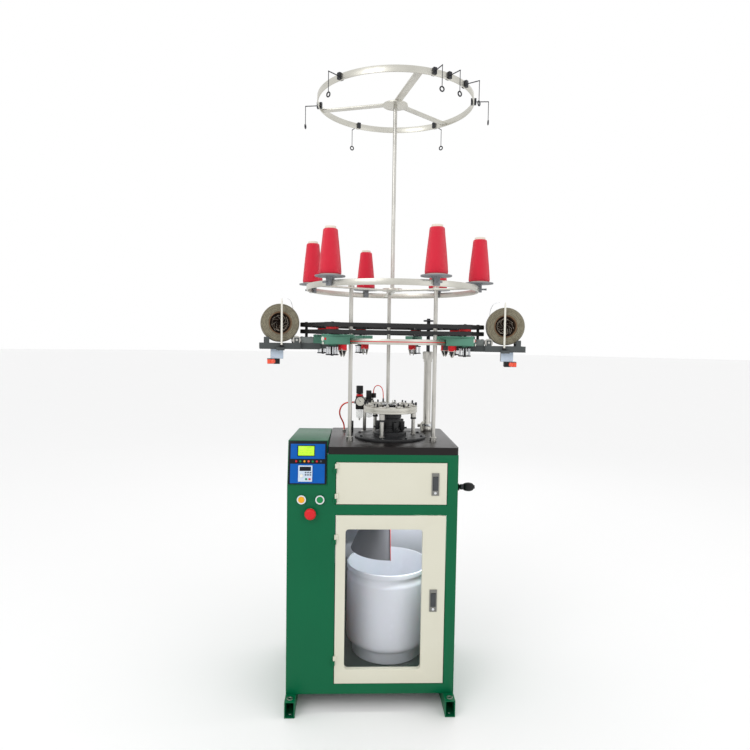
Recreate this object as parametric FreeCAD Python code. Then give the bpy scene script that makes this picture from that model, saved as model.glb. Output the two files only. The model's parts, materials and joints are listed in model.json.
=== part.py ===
import FreeCAD, Part
import math
import os

from FreeCAD import Rotation, Vector

# Circular knitting machine. Millimetres, +Z up, origin on the floor under the knitting axis.
# The front faces -Y. An angle round the axis is counted from the front towards +X.

# ---- driving dimensions: cabinet ----
TABLE_HEIGHT = 900.0
TABLE_THICK = 25.0
TABLE_CORNER = 14.0
CABINET_DEPTH = 440.0
CABINET_LEFT = -352.0        # outer face of the console column
CABINET_RIGHT = 217.0
COLUMN_WIDTH = 133.0         # console column beside the knitting cabinet
SHEET = 3.0
RAIL_HEIGHT = 56.0
RAIL_WIDTH = 34.0
RAIL_OVERHANG = 45.0
DRUM_FLOOR_STEP = 49.0       # raised floor that the drum stands on, over the rails
FLOOR_HOLE_R = 5.0
FLOOR_HOLE_INSET = 20.0
SHELF_DROP = 209.0           # machine shelf under the table top
SHELF_HEIGHT = TABLE_HEIGHT - SHELF_DROP
TABLE_BASE = TABLE_HEIGHT - TABLE_THICK

# ---- driving dimensions: doors and console ----
DOOR_THICK = 18.0
DOOR_GAP = 2.0
DOOR_LEFT = -190.0
DOOR_RIGHT = 180.0
LOWER_DOOR = (RAIL_HEIGHT + 36.0, SHELF_HEIGHT - 21.0)
UPPER_DOOR = (SHELF_HEIGHT + 17.0, TABLE_BASE - 27.0)
WINDOW_SIDE = (33.0, 78.0)   # door stile widths left and right of the window
WINDOW_RAIL = (48.0, 47.0)   # door rail heights under and over the window
WINDOW_CORNER = 12.0
PANE_THICK = 4.0
HINGE_R = 3.0
HINGE_PIN_R = 1.5
HINGE_FIT = 0.05
HINGE_KNUCKLE = 16.0
LOCK_WIDTH = 24.0
LOCK_HEIGHT = 75.0
LOCK_PIVOT = 3.9             # paddle axis in front of the door face
LOCK_SETBACK = 39.0          # lock centre from the door's free edge
CONSOLE_BASE = TABLE_HEIGHT - 129.0
CONSOLE_TOP = TABLE_HEIGHT + 16.0
CONSOLE_LEAN = 30.0
CONSOLE_BACK_DROP = 19.0
PANEL_THICK = 3.0
BUTTON_R = 10.5
BEZEL_R = 15.0
STOP_R = 19.0
BUTTON_TRAVEL = 4.0
BUTTON_HEIGHT = CONSOLE_BASE - 47.0
STOP_HEIGHT = BUTTON_HEIGHT - 46.0
BUTTON_X = (-304.0, -243.0)
STOP_X = -274.0

# ---- driving dimensions: knitting head and drive ----
BORE_R = 24.0                # fabric passage through the needle cylinder
SHAFT_R = 30.0
RUN_FIT = 0.05               # radial running fit of every turning shaft
PART_GAP = 0.4               # gap between curved faces that do not bear
HEAD_DISC_R = 130.0
HEAD_DISC_THICK = 9.0
CAM_BOX_R = 38.0
RING_R = 98.0
RING_BORE_R = 62.0
RING_BASE = TABLE_HEIGHT + 94.0
RING_THICK = 22.0
POST_R = 7.0
POST_CIRCLE = 87.0
MAIN_PULLEY_R = 70.0
MOTOR_PULLEY_R = 35.0
BELT_THICK = 1.6
DRUM_HEIGHT = 331.0
DRUM_R = 152.0
MOTOR_AT = (-125.0, 110.0)
MOTOR_R = 58.0
CROWN_GEAR_R = 62.0
PINION_R = 20.0
CRANK_HEIGHT = SHELF_HEIGHT + 23.0
CRANK_R = 8.0
CRANK_ARM = 80.0
CRANK_LIFT = 14.5
COLUMN_R = 14.5
COLUMN_SHAFT_R = 7.0
DRIVE_WHEEL_R = 56.0

# ---- driving dimensions: rings above the table ----
POLE_R = 7.0
POLE_CIRCLE = 171.0
POLE_ANGLES = (60.0, 180.0, 300.0)
FEEDER_RING_R = 204.0
FEEDER_RING_WIDE = 10.0
FEEDER_RING_BASE = TABLE_HEIGHT + 340.0
COLUMN_AT = (FEEDER_RING_R - 48.0, FEEDER_RING_R - 36.0)
COLUMN_SLEEVE_TOP = FEEDER_RING_BASE - 27.0
GEARBOX_TOP = FEEDER_RING_BASE + 22.0
FEEDER_RING_HIGH = 19.0
FEEDER_ANGLES = (68.0, 112.0, 155.0, 204.0, 250.0, 309.0)
FEEDER_AXIS_R = FEEDER_RING_R + 66.0
FEEDER_PULLEY_R = 27.0
FEEDER_SHAFT_R = 5.0
FEEDER_BODY_HALF = 18.0
LOWER_BELT = (FEEDER_RING_BASE + 35.0, FEEDER_RING_BASE + 48.0)
UPPER_BELT = (FEEDER_RING_BASE + 58.0, FEEDER_RING_BASE + 72.0)
CONE_RING_R = 310.0
CONE_RING_BASE = TABLE_HEIGHT + 528.0
CONE_RING_HIGH = 20.0
BAND = 4.0                   # thickness of the flat ring bands
CONE_ANGLES = (22.8, 77.5, 140.0, 197.0, 252.0, 315.4)
CONE_DISC_R = 50.0
CONE_HEIGHT = 138.0
CONE_BASE_R = 37.0
CONE_TOP_R = 24.0
MAST_R = 7.0
TOP_RING_R = 278.0
TOP_RING_TOP = TABLE_HEIGHT + 1212.0
TOP_RING_HIGH = 23.0
SPOKE_WIDE = 26.0
TOP_SPOKE_ANGLES = (12.0, 132.0, 252.0)
GUIDE_CAP = 2.0              # clamp cap over the top ring
GUIDE_ANGLES = (22.0, 34.0, 52.0, 84.0, 142.0, 208.0, 260.0, 316.0)

# ---- driving dimensions: elastic yarn spools ----
SPOOL_ANGLES = (80.0, 280.0)
SPOOL_AXIS_R = FEEDER_RING_R + 200.0
SPOOL_R = 66.0
SPOOL_BORE_R = 39.0
SPOOL_LENGTH = 86.0
SPOOL_HEIGHT = FEEDER_RING_BASE + 69.0
ROLLER_R = 14.0
ROLLER_OFFSET = 56.0
REST_ROD_R = 6.0
REST_OFFSET = 45.0
TRAY = (FEEDER_RING_R + 59.0, SPOOL_AXIS_R + 69.0)     # inner and outer ends of the spool tray
TRAY_SHOULDER = SPOOL_AXIS_R - 69.0                    # where the narrow neck opens into the wide tray
TRAY_NECK_HALF = 29.0
TRAY_BASE = FEEDER_RING_BASE - 21.0
TRAY_HIGH = 21.0
TRAY_LIP = 4.0
SPOOL_DRIVE_R = 20.0
SPOOL_DRIVE_AXIS_R = FEEDER_RING_R + 106.0

FRONT = -CABINET_DEPTH / 2
BACK = CABINET_DEPTH / 2
PARTITION = CABINET_LEFT + COLUMN_WIDTH
TABLE_LEFT = PARTITION + 1.0
TABLE_RIGHT = CABINET_RIGHT + 1.0
HEAD_TOP = TABLE_HEIGHT + HEAD_DISC_THICK
RING_TOP = RING_BASE + RING_THICK
MAIN_PULLEY = (TABLE_BASE - 45.0, TABLE_BASE - 9.0)
MOTOR_BELT = (MAIN_PULLEY[0] + 2.0, MAIN_PULLEY[0] + 16.0)
COLUMN_BELT = (MAIN_PULLEY[0] + 20.0, MAIN_PULLEY[0] + 34.0)
MOTOR_TOP = MOTOR_BELT[0] - 17.0
TUBE_END = SHELF_HEIGHT + 9.0
HUB_R = SHAFT_R + 15.0


def block(x0, x1, y0, y1, z0, z1):
    return Part.makeBox(x1 - x0, y1 - y0, z1 - z0, Vector(x0, y0, z0))


def disc(at, radius, z0, z1):
    return Part.makeCylinder(radius, z1 - z0, Vector(at[0], at[1], z0))


def sleeve(at, outer, inner, z0, z1):
    return disc(at, outer, z0, z1).cut(disc(at, inner, z0 - 1, z1 + 1))


def rod(radius, start, end):
    start = Vector(*start)
    along = Vector(*end) - start
    return Part.makeCylinder(radius, along.Length, start, along)


def cone(at, low_r, high_r, z0, z1):
    return Part.makeCone(low_r, high_r, z1 - z0, Vector(at[0], at[1], z0))


def fuse(first, *others):
    return first.fuse(list(others)).removeSplitter()


def polar(radius, angle):
    turn = math.radians(angle)
    return radius * math.sin(turn), -radius * math.cos(turn)


def swing(shape, angle):
    # Shapes are drawn at the front, where outwards is -Y, and swung round the axis.
    turned = shape.copy()
    turned.rotate(Vector(0, 0, 0), Vector(0, 0, 1), angle)
    return turned


def outward(inner, outer, half, z0, z1):
    return block(-half, half, -outer, -inner, z0, z1)


def soften(shape, radius, direction):
    edges = []
    for edge in shape.Edges:
        if isinstance(edge.Curve, Part.Line):
            if abs(abs(edge.Curve.Direction.dot(Vector(*direction))) - 1) < 1e-6:
                edges.append(edge)
    return shape.makeFillet(radius, edges)


def write(name, *solids):
    shape = solids[0] if len(solids) == 1 else Part.makeCompound(list(solids))
    shape.exportStep("parts/" + name + ".step")
    print(name, len(shape.Solids), round(shape.Volume / 1000.0, 1), shape.isValid())


def belt(circles, z0, z1):
    # Closed belt round pulleys (x, y, radius), given counter-clockwise from above.
    def loop(grow):
        count = len(circles)
        normals = []
        for index in range(count):
            x0, y0, r0 = circles[index]
            x1, y1, r1 = circles[(index + 1) % count]
            heading = math.atan2(y1 - y0, x1 - x0)
            normals.append(heading - math.acos((r0 - r1) / math.hypot(x1 - x0, y1 - y0)))
        edges = []
        for index in range(count):
            x, y, radius = circles[index]
            start = normals[index - 1]
            sweep = (normals[index] - start) % (2 * math.pi)
            arc = []
            for turn in (start, start + sweep / 2, start + sweep):
                reach = radius + grow
                arc.append(Vector(x + reach * math.cos(turn), y + reach * math.sin(turn), z0))
            edges.append(Part.Arc(*arc).toShape())
            nx, ny, nr = circles[(index + 1) % count]
            turn = normals[index]
            reach = nr + grow
            landing = Vector(nx + reach * math.cos(turn), ny + reach * math.sin(turn), z0)
            edges.append(Part.LineSegment(arc[2], landing).toShape())
        return Part.Face(Part.Wire(edges))
    ring = loop(PART_GAP + BELT_THICK).cut(loop(PART_GAP))
    return ring.extrude(Vector(0, 0, z1 - z0))


def hose(points, radius):
    # Straight runs joined by tangent arcs as large as both runs allow.
    route = [Vector(*point) for point in points]
    edges = []
    here = route[0]
    for index in range(1, len(route) - 1):
        back = (route[index - 1] - route[index])
        ahead = (route[index + 1] - route[index])
        run = 0.45 * min(back.Length, ahead.Length)
        back.normalize()
        ahead.normalize()
        half_turn = (math.pi - math.acos(back.dot(ahead))) / 2
        bend = run / math.tan(half_turn)
        start = route[index] + back * run
        end = route[index] + ahead * run
        middle = route[index] + (back + ahead).normalize() * (math.hypot(run, bend) - bend)
        edges.append(Part.LineSegment(here, start).toShape())
        edges.append(Part.Arc(start, middle, end).toShape())
        print("hose bend", round(bend, 1))
        here = end
    edges.append(Part.LineSegment(here, route[-1]).toShape())
    path = Part.Wire(edges)
    section = Part.Wire([Part.Circle(route[0], route[1] - route[0], radius).toShape()])
    tube = path.makePipeShell([section], True, False)
    expected = math.pi * radius ** 2 * path.Length
    print("hose volume ratio", round(tube.Volume / expected, 4), "length", round(path.Length))
    return tube


# ---- cabinet ----

def console_column_cut():
    return block(CABINET_LEFT - 1, PARTITION, FRONT - 1, BACK + 1, CONSOLE_BASE, TABLE_HEIGHT)


def door_opening(heights):
    return block(DOOR_LEFT - DOOR_GAP, DOOR_RIGHT + DOOR_GAP, FRONT - 1, FRONT + SHEET + 1,
                 heights[0] - DOOR_GAP, heights[1] + DOOR_GAP)


def hinge_levels(heights):
    inset = 0.14 * (heights[1] - heights[0])
    return heights[0] + inset, heights[1] - inset


HINGE_X = DOOR_LEFT - DOOR_GAP / 2
HINGE_Y = FRONT - HINGE_R - 0.6


def fixed_knuckles(heights):
    parts = []
    for level in hinge_levels(heights):
        barrel = disc((HINGE_X, HINGE_Y), HINGE_R, level - HINGE_KNUCKLE, level)
        leaf = block(HINGE_X - 9, HINGE_X - 2.4, FRONT - 0.6 - HINGE_R, FRONT, level - HINGE_KNUCKLE, level)
        leaf = leaf.cut(disc((HINGE_X, HINGE_Y), HINGE_R - 0.5, level - 20, level + 20))
        pin = disc((HINGE_X, HINGE_Y), HINGE_PIN_R, level - 1, level + HINGE_KNUCKLE - 0.5)
        parts.append(fuse(barrel, leaf, pin))
    return parts


def door_knuckles(heights):
    parts = []
    for level in hinge_levels(heights):
        low = level + 0.3
        high = level + HINGE_KNUCKLE
        barrel = disc((HINGE_X, HINGE_Y), HINGE_R, low, high)
        leaf = block(HINGE_X + 1.4, HINGE_X + 9, FRONT - 0.6 - HINGE_R, FRONT, low, high)
        knuckle = fuse(barrel, leaf).cut(disc((HINGE_X, HINGE_Y), HINGE_PIN_R + HINGE_FIT, low - 1, high + 1))
        parts.append(knuckle)
    return parts


def foot_rails():
    rails = []
    reach = BACK + RAIL_OVERHANG
    for left in (CABINET_LEFT, CABINET_RIGHT - RAIL_WIDTH):
        rail = block(left, left + RAIL_WIDTH, -reach, reach, 0, RAIL_HEIGHT)
        rail = rail.cut(block(left + SHEET, left + RAIL_WIDTH - SHEET, -reach - 1, reach + 1,
                              SHEET, RAIL_HEIGHT - SHEET))
        for end in (-1, 1):
            at = (left + RAIL_WIDTH / 2, end * (reach - FLOOR_HOLE_INSET))
            rail = rail.cut(disc(at, FLOOR_HOLE_R, -1, RAIL_HEIGHT + 1))
        rails.append(rail)
    write("foot_rails", *rails)


def front_frame():
    sheet = block(CABINET_LEFT, CABINET_RIGHT, FRONT, FRONT + SHEET, RAIL_HEIGHT, TABLE_BASE)
    sheet = sheet.cut([console_column_cut(), door_opening(LOWER_DOOR), door_opening(UPPER_DOOR)])
    for x, z in ((BUTTON_X[0], BUTTON_HEIGHT), (BUTTON_X[1], BUTTON_HEIGHT), (STOP_X, STOP_HEIGHT)):
        sheet = sheet.cut(rod(9.0, (x, FRONT - 1, z), (x, FRONT + SHEET + 1, z)))
    write("front_frame", sheet, *fixed_knuckles(LOWER_DOOR), *fixed_knuckles(UPPER_DOOR))


def cabinet_panels():
    inner = (FRONT + SHEET, BACK - SHEET)
    left = block(CABINET_LEFT, CABINET_LEFT + SHEET, *inner, RAIL_HEIGHT, CONSOLE_BASE)
    right = block(CABINET_RIGHT - SHEET, CABINET_RIGHT, *inner, RAIL_HEIGHT, TABLE_BASE)
    right = right.cut(rod(CRANK_R + 8.0 + PART_GAP, (CABINET_RIGHT - 9, 0, CRANK_HEIGHT),
                          (CABINET_RIGHT + 9, 0, CRANK_HEIGHT)))
    rear = block(CABINET_LEFT, CABINET_RIGHT, BACK - SHEET, BACK, RAIL_HEIGHT, TABLE_BASE)
    rear = rear.cut(console_column_cut())
    for row in range(5):
        z = 180.0 + 22.0 * row
        rear = rear.cut(block(-320, -250, BACK - SHEET - 1, BACK + 1, z, z + 6))
    write("cabinet_panels", left, right, rear)


def inner_panels():
    inner = (FRONT + SHEET, BACK - SHEET)
    floor = block(CABINET_LEFT + SHEET, CABINET_RIGHT - SHEET, *inner, RAIL_HEIGHT, RAIL_HEIGHT + SHEET)
    step_top = RAIL_HEIGHT + DRUM_FLOOR_STEP
    step_front = FRONT + DOOR_THICK + 4
    between = (PARTITION + SHEET, CABINET_RIGHT - SHEET)
    step = fuse(block(*between, step_front, inner[1], step_top - SHEET, step_top),
                block(*between, step_front, step_front + SHEET, RAIL_HEIGHT + SHEET, step_top))
    wall = block(PARTITION, PARTITION + SHEET, *inner, RAIL_HEIGHT + SHEET, TABLE_BASE)
    shelf = block(PARTITION + SHEET, CABINET_RIGHT - SHEET, *inner, SHELF_HEIGHT - SHEET, SHELF_HEIGHT)
    shelf = shelf.cut(disc((0, 0), HUB_R, SHELF_HEIGHT - 9, SHELF_HEIGHT + 9))
    write("inner_panels", floor, wall, shelf, step)


def table_top():
    slab = block(TABLE_LEFT, TABLE_RIGHT, FRONT, BACK, TABLE_BASE, TABLE_HEIGHT)
    slab = soften(slab, TABLE_CORNER, (0, 0, 1))
    slab = slab.cut([disc((0, 0), HUB_R + PART_GAP, TABLE_BASE - 1, TABLE_HEIGHT + 1),
                     disc(COLUMN_AT, COLUMN_SHAFT_R + 3.0, TABLE_BASE - 1, TABLE_HEIGHT + 1)])
    write("table_top", slab)


# ---- console ----
SLOPE = math.hypot(CONSOLE_LEAN, CONSOLE_TOP - CONSOLE_BASE)
SLOPE_ANGLE = math.degrees(math.atan2(CONSOLE_LEAN, CONSOLE_TOP - CONSOLE_BASE))
CONSOLE_RIGHT = PARTITION - 0.5


def on_slope(shape):
    # Drawn upright with its back at Y = 0 and its foot at Z = 0, then laid on the sloping face.
    laid = shape.copy()
    laid.rotate(Vector(0, 0, 0), Vector(1, 0, 0), -SLOPE_ANGLE)
    laid.translate(Vector(0, FRONT, CONSOLE_BASE))
    return laid


def console_prism(x0, x1, inset):
    outline = [Vector(x0, FRONT + inset, CONSOLE_BASE - (1 if inset else 0)),
               Vector(x0, FRONT + CONSOLE_LEAN + inset, CONSOLE_TOP - inset),
               Vector(x0, BACK - inset, CONSOLE_TOP - CONSOLE_BACK_DROP - inset),
               Vector(x0, BACK - inset, CONSOLE_BASE - (1 if inset else 0))]
    outline.append(outline[0])
    return Part.Face(Part.makePolygon(outline)).extrude(Vector(x1 - x0, 0, 0))


def console():
    housing = console_prism(CABINET_LEFT, CONSOLE_RIGHT, 0.0)
    housing = housing.cut(console_prism(CABINET_LEFT + SHEET, CONSOLE_RIGHT - SHEET, SHEET))
    write("console_housing", housing)
    left = CABINET_LEFT + 3.0
    right = CONSOLE_RIGHT - 3.0
    wide = right - left
    plate = block(left, right, -PANEL_THICK, 0, 3.0, SLOPE - 2.0)
    lcd = (left + 0.24 * wide, left + 0.67 * wide, 0.655 * SLOPE, 0.875 * SLOPE)
    plate = plate.cut(block(lcd[0], lcd[1], -PANEL_THICK - 1, 1, lcd[2], lcd[3]))
    keypad = block(left + 0.26 * wide, left + 0.63 * wide, -PANEL_THICK - 2.5, -PANEL_THICK - 0.02,
                   0.08 * SLOPE, 0.44 * SLOPE)
    keypad = soften(keypad, 2.0, (0, 1, 0))
    write("console_panel", on_slope(plate), on_slope(keypad))
    glass = block(lcd[0] + 0.2, lcd[1] - 0.2, -PANEL_THICK + 1.0, 0, lcd[2] + 0.2, lcd[3] - 0.2)
    write("lcd_display", on_slope(glass))


def electrical_unit():
    back = CABINET_LEFT + SHEET
    plate = block(back, back + 3, -150, 150, 240, 640)
    drive = soften(block(back + 3, back + 93, -60, 60, 430, 610), 4.0, (1, 0, 0))
    fins = block(back + 93, back + 101, -50, 50, 440, 600)
    supply = block(back + 3, back + 58, -110, 20, 260, 350)
    terminals = block(back + 3, back + 33, -120, 120, 375, 400)
    write("electrical_unit", plate, drive, fins, supply, terminals)


def push_buttons():
    bezels = []
    for name, x in (("jog_button", BUTTON_X[0]), ("start_button", BUTTON_X[1])):
        ring = rod(BEZEL_R, (x, FRONT - 8, BUTTON_HEIGHT), (x, FRONT, BUTTON_HEIGHT))
        ring = ring.cut(rod(BUTTON_R + PART_GAP, (x, FRONT - 9, BUTTON_HEIGHT),
                            (x, FRONT + 1, BUTTON_HEIGHT)))
        bezels.append(ring)
        cap = rod(BUTTON_R, (x, FRONT - 11, BUTTON_HEIGHT), (x, FRONT - 1 - BUTTON_TRAVEL, BUTTON_HEIGHT))
        stem = rod(6.0, (x, FRONT - 1 - BUTTON_TRAVEL, BUTTON_HEIGHT), (x, FRONT + 14, BUTTON_HEIGHT))
        write(name, fuse(cap, stem))
    ring = rod(BEZEL_R, (STOP_X, FRONT - 6, STOP_HEIGHT), (STOP_X, FRONT, STOP_HEIGHT))
    bezels.append(ring.cut(rod(8.4, (STOP_X, FRONT - 9, STOP_HEIGHT), (STOP_X, FRONT + 1, STOP_HEIGHT))))
    head = rod(STOP_R, (STOP_X, FRONT - 24, STOP_HEIGHT), (STOP_X, FRONT - 7 - BUTTON_TRAVEL, STOP_HEIGHT))
    head = head.makeFillet(5.0, [edge for edge in head.Edges if edge.CenterOfMass.y < FRONT - 23])
    stem = rod(8.0, (STOP_X, FRONT - 8 - BUTTON_TRAVEL, STOP_HEIGHT), (STOP_X, FRONT + 14, STOP_HEIGHT))
    write("stop_button", fuse(head, stem))
    for x, z in ((BUTTON_X[0], BUTTON_HEIGHT), (BUTTON_X[1], BUTTON_HEIGHT), (STOP_X, STOP_HEIGHT)):
        case = block(x - 14, x + 14, FRONT + SHEET, FRONT + 40, z - 14, z + 14)
        hole = rod(9.0, (x, FRONT, z), (x, FRONT + 16 + BUTTON_TRAVEL, z))
        bezels.append(case.cut(hole))
    write("button_bezels", *bezels)


# ---- doors ----

def lock_parts(centre_z):
    x = DOOR_RIGHT - LOCK_SETBACK
    case = soften(block(x - LOCK_WIDTH / 2, x + LOCK_WIDTH / 2, FRONT - 2.5, FRONT,
                        centre_z - LOCK_HEIGHT / 2, centre_z + LOCK_HEIGHT / 2), 5.0, (0, 1, 0))
    half = LOCK_WIDTH / 2 - 4.5
    high = centre_z + LOCK_HEIGHT / 2 - 12
    low = centre_z - LOCK_HEIGHT / 2 + 18
    pivot_y = FRONT - LOCK_PIVOT
    paddle = block(x - half, x + half, pivot_y - 1.1, pivot_y + 1.1, low, high)
    pin = rod(1.1, (x - half, pivot_y, high), (x + half, pivot_y, high))
    cam = block(x - 8, x + 16, FRONT + DOOR_THICK, FRONT + DOOR_THICK + 3, centre_z - 6, centre_z + 6)
    return case, fuse(paddle, pin), cam


def doors():
    for name, heights in (("upper", UPPER_DOOR), ("lower", LOWER_DOOR)):
        centre = (heights[0] + heights[1]) / 2 - 2
        case, paddle, cam = lock_parts(centre)
        leaf = block(DOOR_LEFT, DOOR_RIGHT, FRONT, FRONT + DOOR_THICK, *heights)
        leaf = soften(leaf, 2.0, (0, 0, 1))
        if name == "lower":
            sides = (DOOR_LEFT + WINDOW_SIDE[0], DOOR_RIGHT - WINDOW_SIDE[1])
            rails = (heights[0] + WINDOW_RAIL[0], heights[1] - WINDOW_RAIL[1])
            hole = block(*sides, FRONT - 1, FRONT + DOOR_THICK + 1, *rails)
            leaf = leaf.cut(soften(hole, WINDOW_CORNER, (0, 1, 0)))
            pane = block(sides[0] + PART_GAP, sides[1] - PART_GAP, FRONT + 6, FRONT + 6 + PANE_THICK,
                         rails[0] + PART_GAP, rails[1] - PART_GAP)
            write("door_window", soften(pane, WINDOW_CORNER - PART_GAP, (0, 1, 0)))
        write(name + "_door", leaf, case, cam, *door_knuckles(heights))
        write(name + "_lock", paddle)


# ---- fabric take-down ----

def fabric_drum():
    base = RAIL_HEIGHT + DRUM_FLOOR_STEP
    rim = base + DRUM_HEIGHT
    foot = DRUM_R - 22
    bore = DRUM_R - 5
    outline = [(0, base), (foot - 4, base), (foot, base + 4), (foot, base + 40), (foot + 6, base + 46),
               (bore, base + 51), (DRUM_R, base + 62), (DRUM_R, rim - 40), (DRUM_R - 3, rim - 28),
               (DRUM_R, rim - 16), (DRUM_R, rim), (bore, rim), (bore, base + 72), (bore - 7, base + 60),
               (0, base + 60), (0, base)]
    face = Part.Face(Part.makePolygon([Vector(r, 0, z) for r, z in outline]))
    write("fabric_drum", face.revolve(Vector(0, 0, 0), Vector(0, 0, 1), 360))


def fabric_chute():
    top = SHELF_HEIGHT - SHEET
    low = top - 202.0
    wall = 2.0
    outline = [(46, top), (60, top), (60, top - 2), (50, top - 2), (138, low), (136, low), (46, top - 4),
               (46, top)]
    face = Part.Face(Part.makePolygon([Vector(0, -r, z) for r, z in outline]))
    shell = face.revolve(Vector(0, 0, 0), Vector(0, 0, 1), -180)
    trim = Part.Face(Part.makePolygon([Vector(0, -r, z) for r, z in
                                       ((136, low), (142, low), (54, top - 4), (48, top - 4), (136, low))]))
    write("fabric_chute", shell, trim.extrude(Vector(wall, 0, 0)))


def compartment_lamp():
    ceiling = SHELF_HEIGHT - SHEET
    base = block(70, 190, -190, -160, ceiling - 8, ceiling)
    tube = rod(9.0, (74, -175, ceiling - 17.2), (186, -175, ceiling - 17.2))
    write("compartment_lamp", base, tube)


# ---- drive under the table ----

def drive():
    body = disc(MOTOR_AT, MOTOR_R, SHELF_HEIGHT + 10, MOTOR_TOP)
    body = body.makeFillet(8.0, [edge for edge in body.Edges if abs(edge.CenterOfMass.z - MOTOR_TOP) < 1])
    foot = block(MOTOR_AT[0] - 62, MOTOR_AT[0] + 62, MOTOR_AT[1] - 62, MOTOR_AT[1] + 62,
                 SHELF_HEIGHT, SHELF_HEIGHT + 10)
    body = body.cut(disc(MOTOR_AT, 8.0 + RUN_FIT, MOTOR_TOP - 35, MOTOR_TOP + 5))
    write("main_motor", body, foot)
    pulley = disc(MOTOR_AT, MOTOR_PULLEY_R, MOTOR_BELT[0] - 1, MOTOR_BELT[1] + 1)
    flange = disc(MOTOR_AT, MOTOR_PULLEY_R + 4, MOTOR_BELT[0] - 4, MOTOR_BELT[0] - 1)
    write("motor_pulley", fuse(pulley, flange, disc(MOTOR_AT, 8.0, MOTOR_TOP - 33, MOTOR_BELT[0])))
    main = (0.0, 0.0, MAIN_PULLEY_R)
    motor = (*MOTOR_AT, MOTOR_PULLEY_R)
    column = (*COLUMN_AT, MOTOR_PULLEY_R)
    write("drive_belts", belt([main, motor], *MOTOR_BELT), belt([main, column], *COLUMN_BELT))
    tube = disc((0, 0), SHAFT_R, TUBE_END, TABLE_HEIGHT + 5)
    wheel = disc((0, 0), MAIN_PULLEY_R, *MAIN_PULLEY)
    crown_base = CRANK_HEIGHT + PINION_R + 0.3
    crown = disc((0, 0), CROWN_GEAR_R, crown_base, crown_base + 14)
    shaft = fuse(tube, wheel, crown).cut(disc((0, 0), BORE_R, TUBE_END - 1, TABLE_HEIGHT + 6))
    write("cylinder_shaft", shaft)
    flange = sleeve((0, 0), HUB_R + 17, SHAFT_R + RUN_FIT, TABLE_BASE - 7, TABLE_BASE)
    hub = sleeve((0, 0), HUB_R, SHAFT_R + RUN_FIT, TABLE_BASE - 1, TABLE_HEIGHT)
    wall = CABINET_RIGHT
    seat = rod(CRANK_R + 8, (wall - 24, 0, CRANK_HEIGHT), (wall + 4, 0, CRANK_HEIGHT))
    collar = rod(CRANK_R + 16, (wall, 0, CRANK_HEIGHT), (wall + 4, 0, CRANK_HEIGHT))
    bush = fuse(seat, collar)
    bush = bush.cut(rod(CRANK_R + RUN_FIT, (wall - 30, 0, CRANK_HEIGHT), (wall + 9, 0, CRANK_HEIGHT)))
    hanger = block(70, 90, -18, 18, SHELF_HEIGHT, CRANK_HEIGHT + 16)
    hanger = hanger.cut(rod(CRANK_R + RUN_FIT, (60, 0, CRANK_HEIGHT), (99, 0, CRANK_HEIGHT)))
    write("shaft_bearings", fuse(flange, hub), bush, hanger)


def crank():
    z = CRANK_HEIGHT
    arm_x = (CABINET_RIGHT + 34, CABINET_RIGHT + 44)
    shaft = rod(CRANK_R, (40, 0, z), (arm_x[1], 0, z))
    pinion = rod(PINION_R, (42, 0, z), (58, 0, z))
    boss = rod(CRANK_R + 6, (CABINET_RIGHT + 10, 0, z), (arm_x[0], 0, z))
    arm = fuse(rod(13, (arm_x[0], 0, z), (arm_x[1], 0, z)),
               rod(10, (arm_x[0], -CRANK_ARM, z), (arm_x[1], -CRANK_ARM, z)),
               block(*arm_x, -CRANK_ARM, 0, z - 8, z + 8))
    pin = rod(4, (arm_x[1], -CRANK_ARM, z), (arm_x[1] + 40, -CRANK_ARM, z))
    cap = rod(7, (arm_x[1] + 38, -CRANK_ARM, z), (arm_x[1] + 41, -CRANK_ARM, z))
    handle = fuse(shaft, pinion, boss, arm, pin, cap)
    handle.rotate(Vector(0, 0, z), Vector(1, 0, 0), -CRANK_LIFT)
    write("crank_shaft", handle)
    start = arm_x[1] + 1.0
    bore = 4 + RUN_FIT
    outline = [(bore, 0), (11, 0), (15, 8), (16, 18), (14, 28), (10, 36), (bore, 36), (bore, 0)]
    face = Part.Face(Part.makePolygon([Vector(start + x, -CRANK_ARM + r, z) for r, x in outline]))
    grip = face.revolve(Vector(0, -CRANK_ARM, z), Vector(1, 0, 0), 360)
    grip.rotate(Vector(0, 0, z), Vector(1, 0, 0), -CRANK_LIFT)
    write("crank_grip", grip)


# ---- knitting head ----

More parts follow.
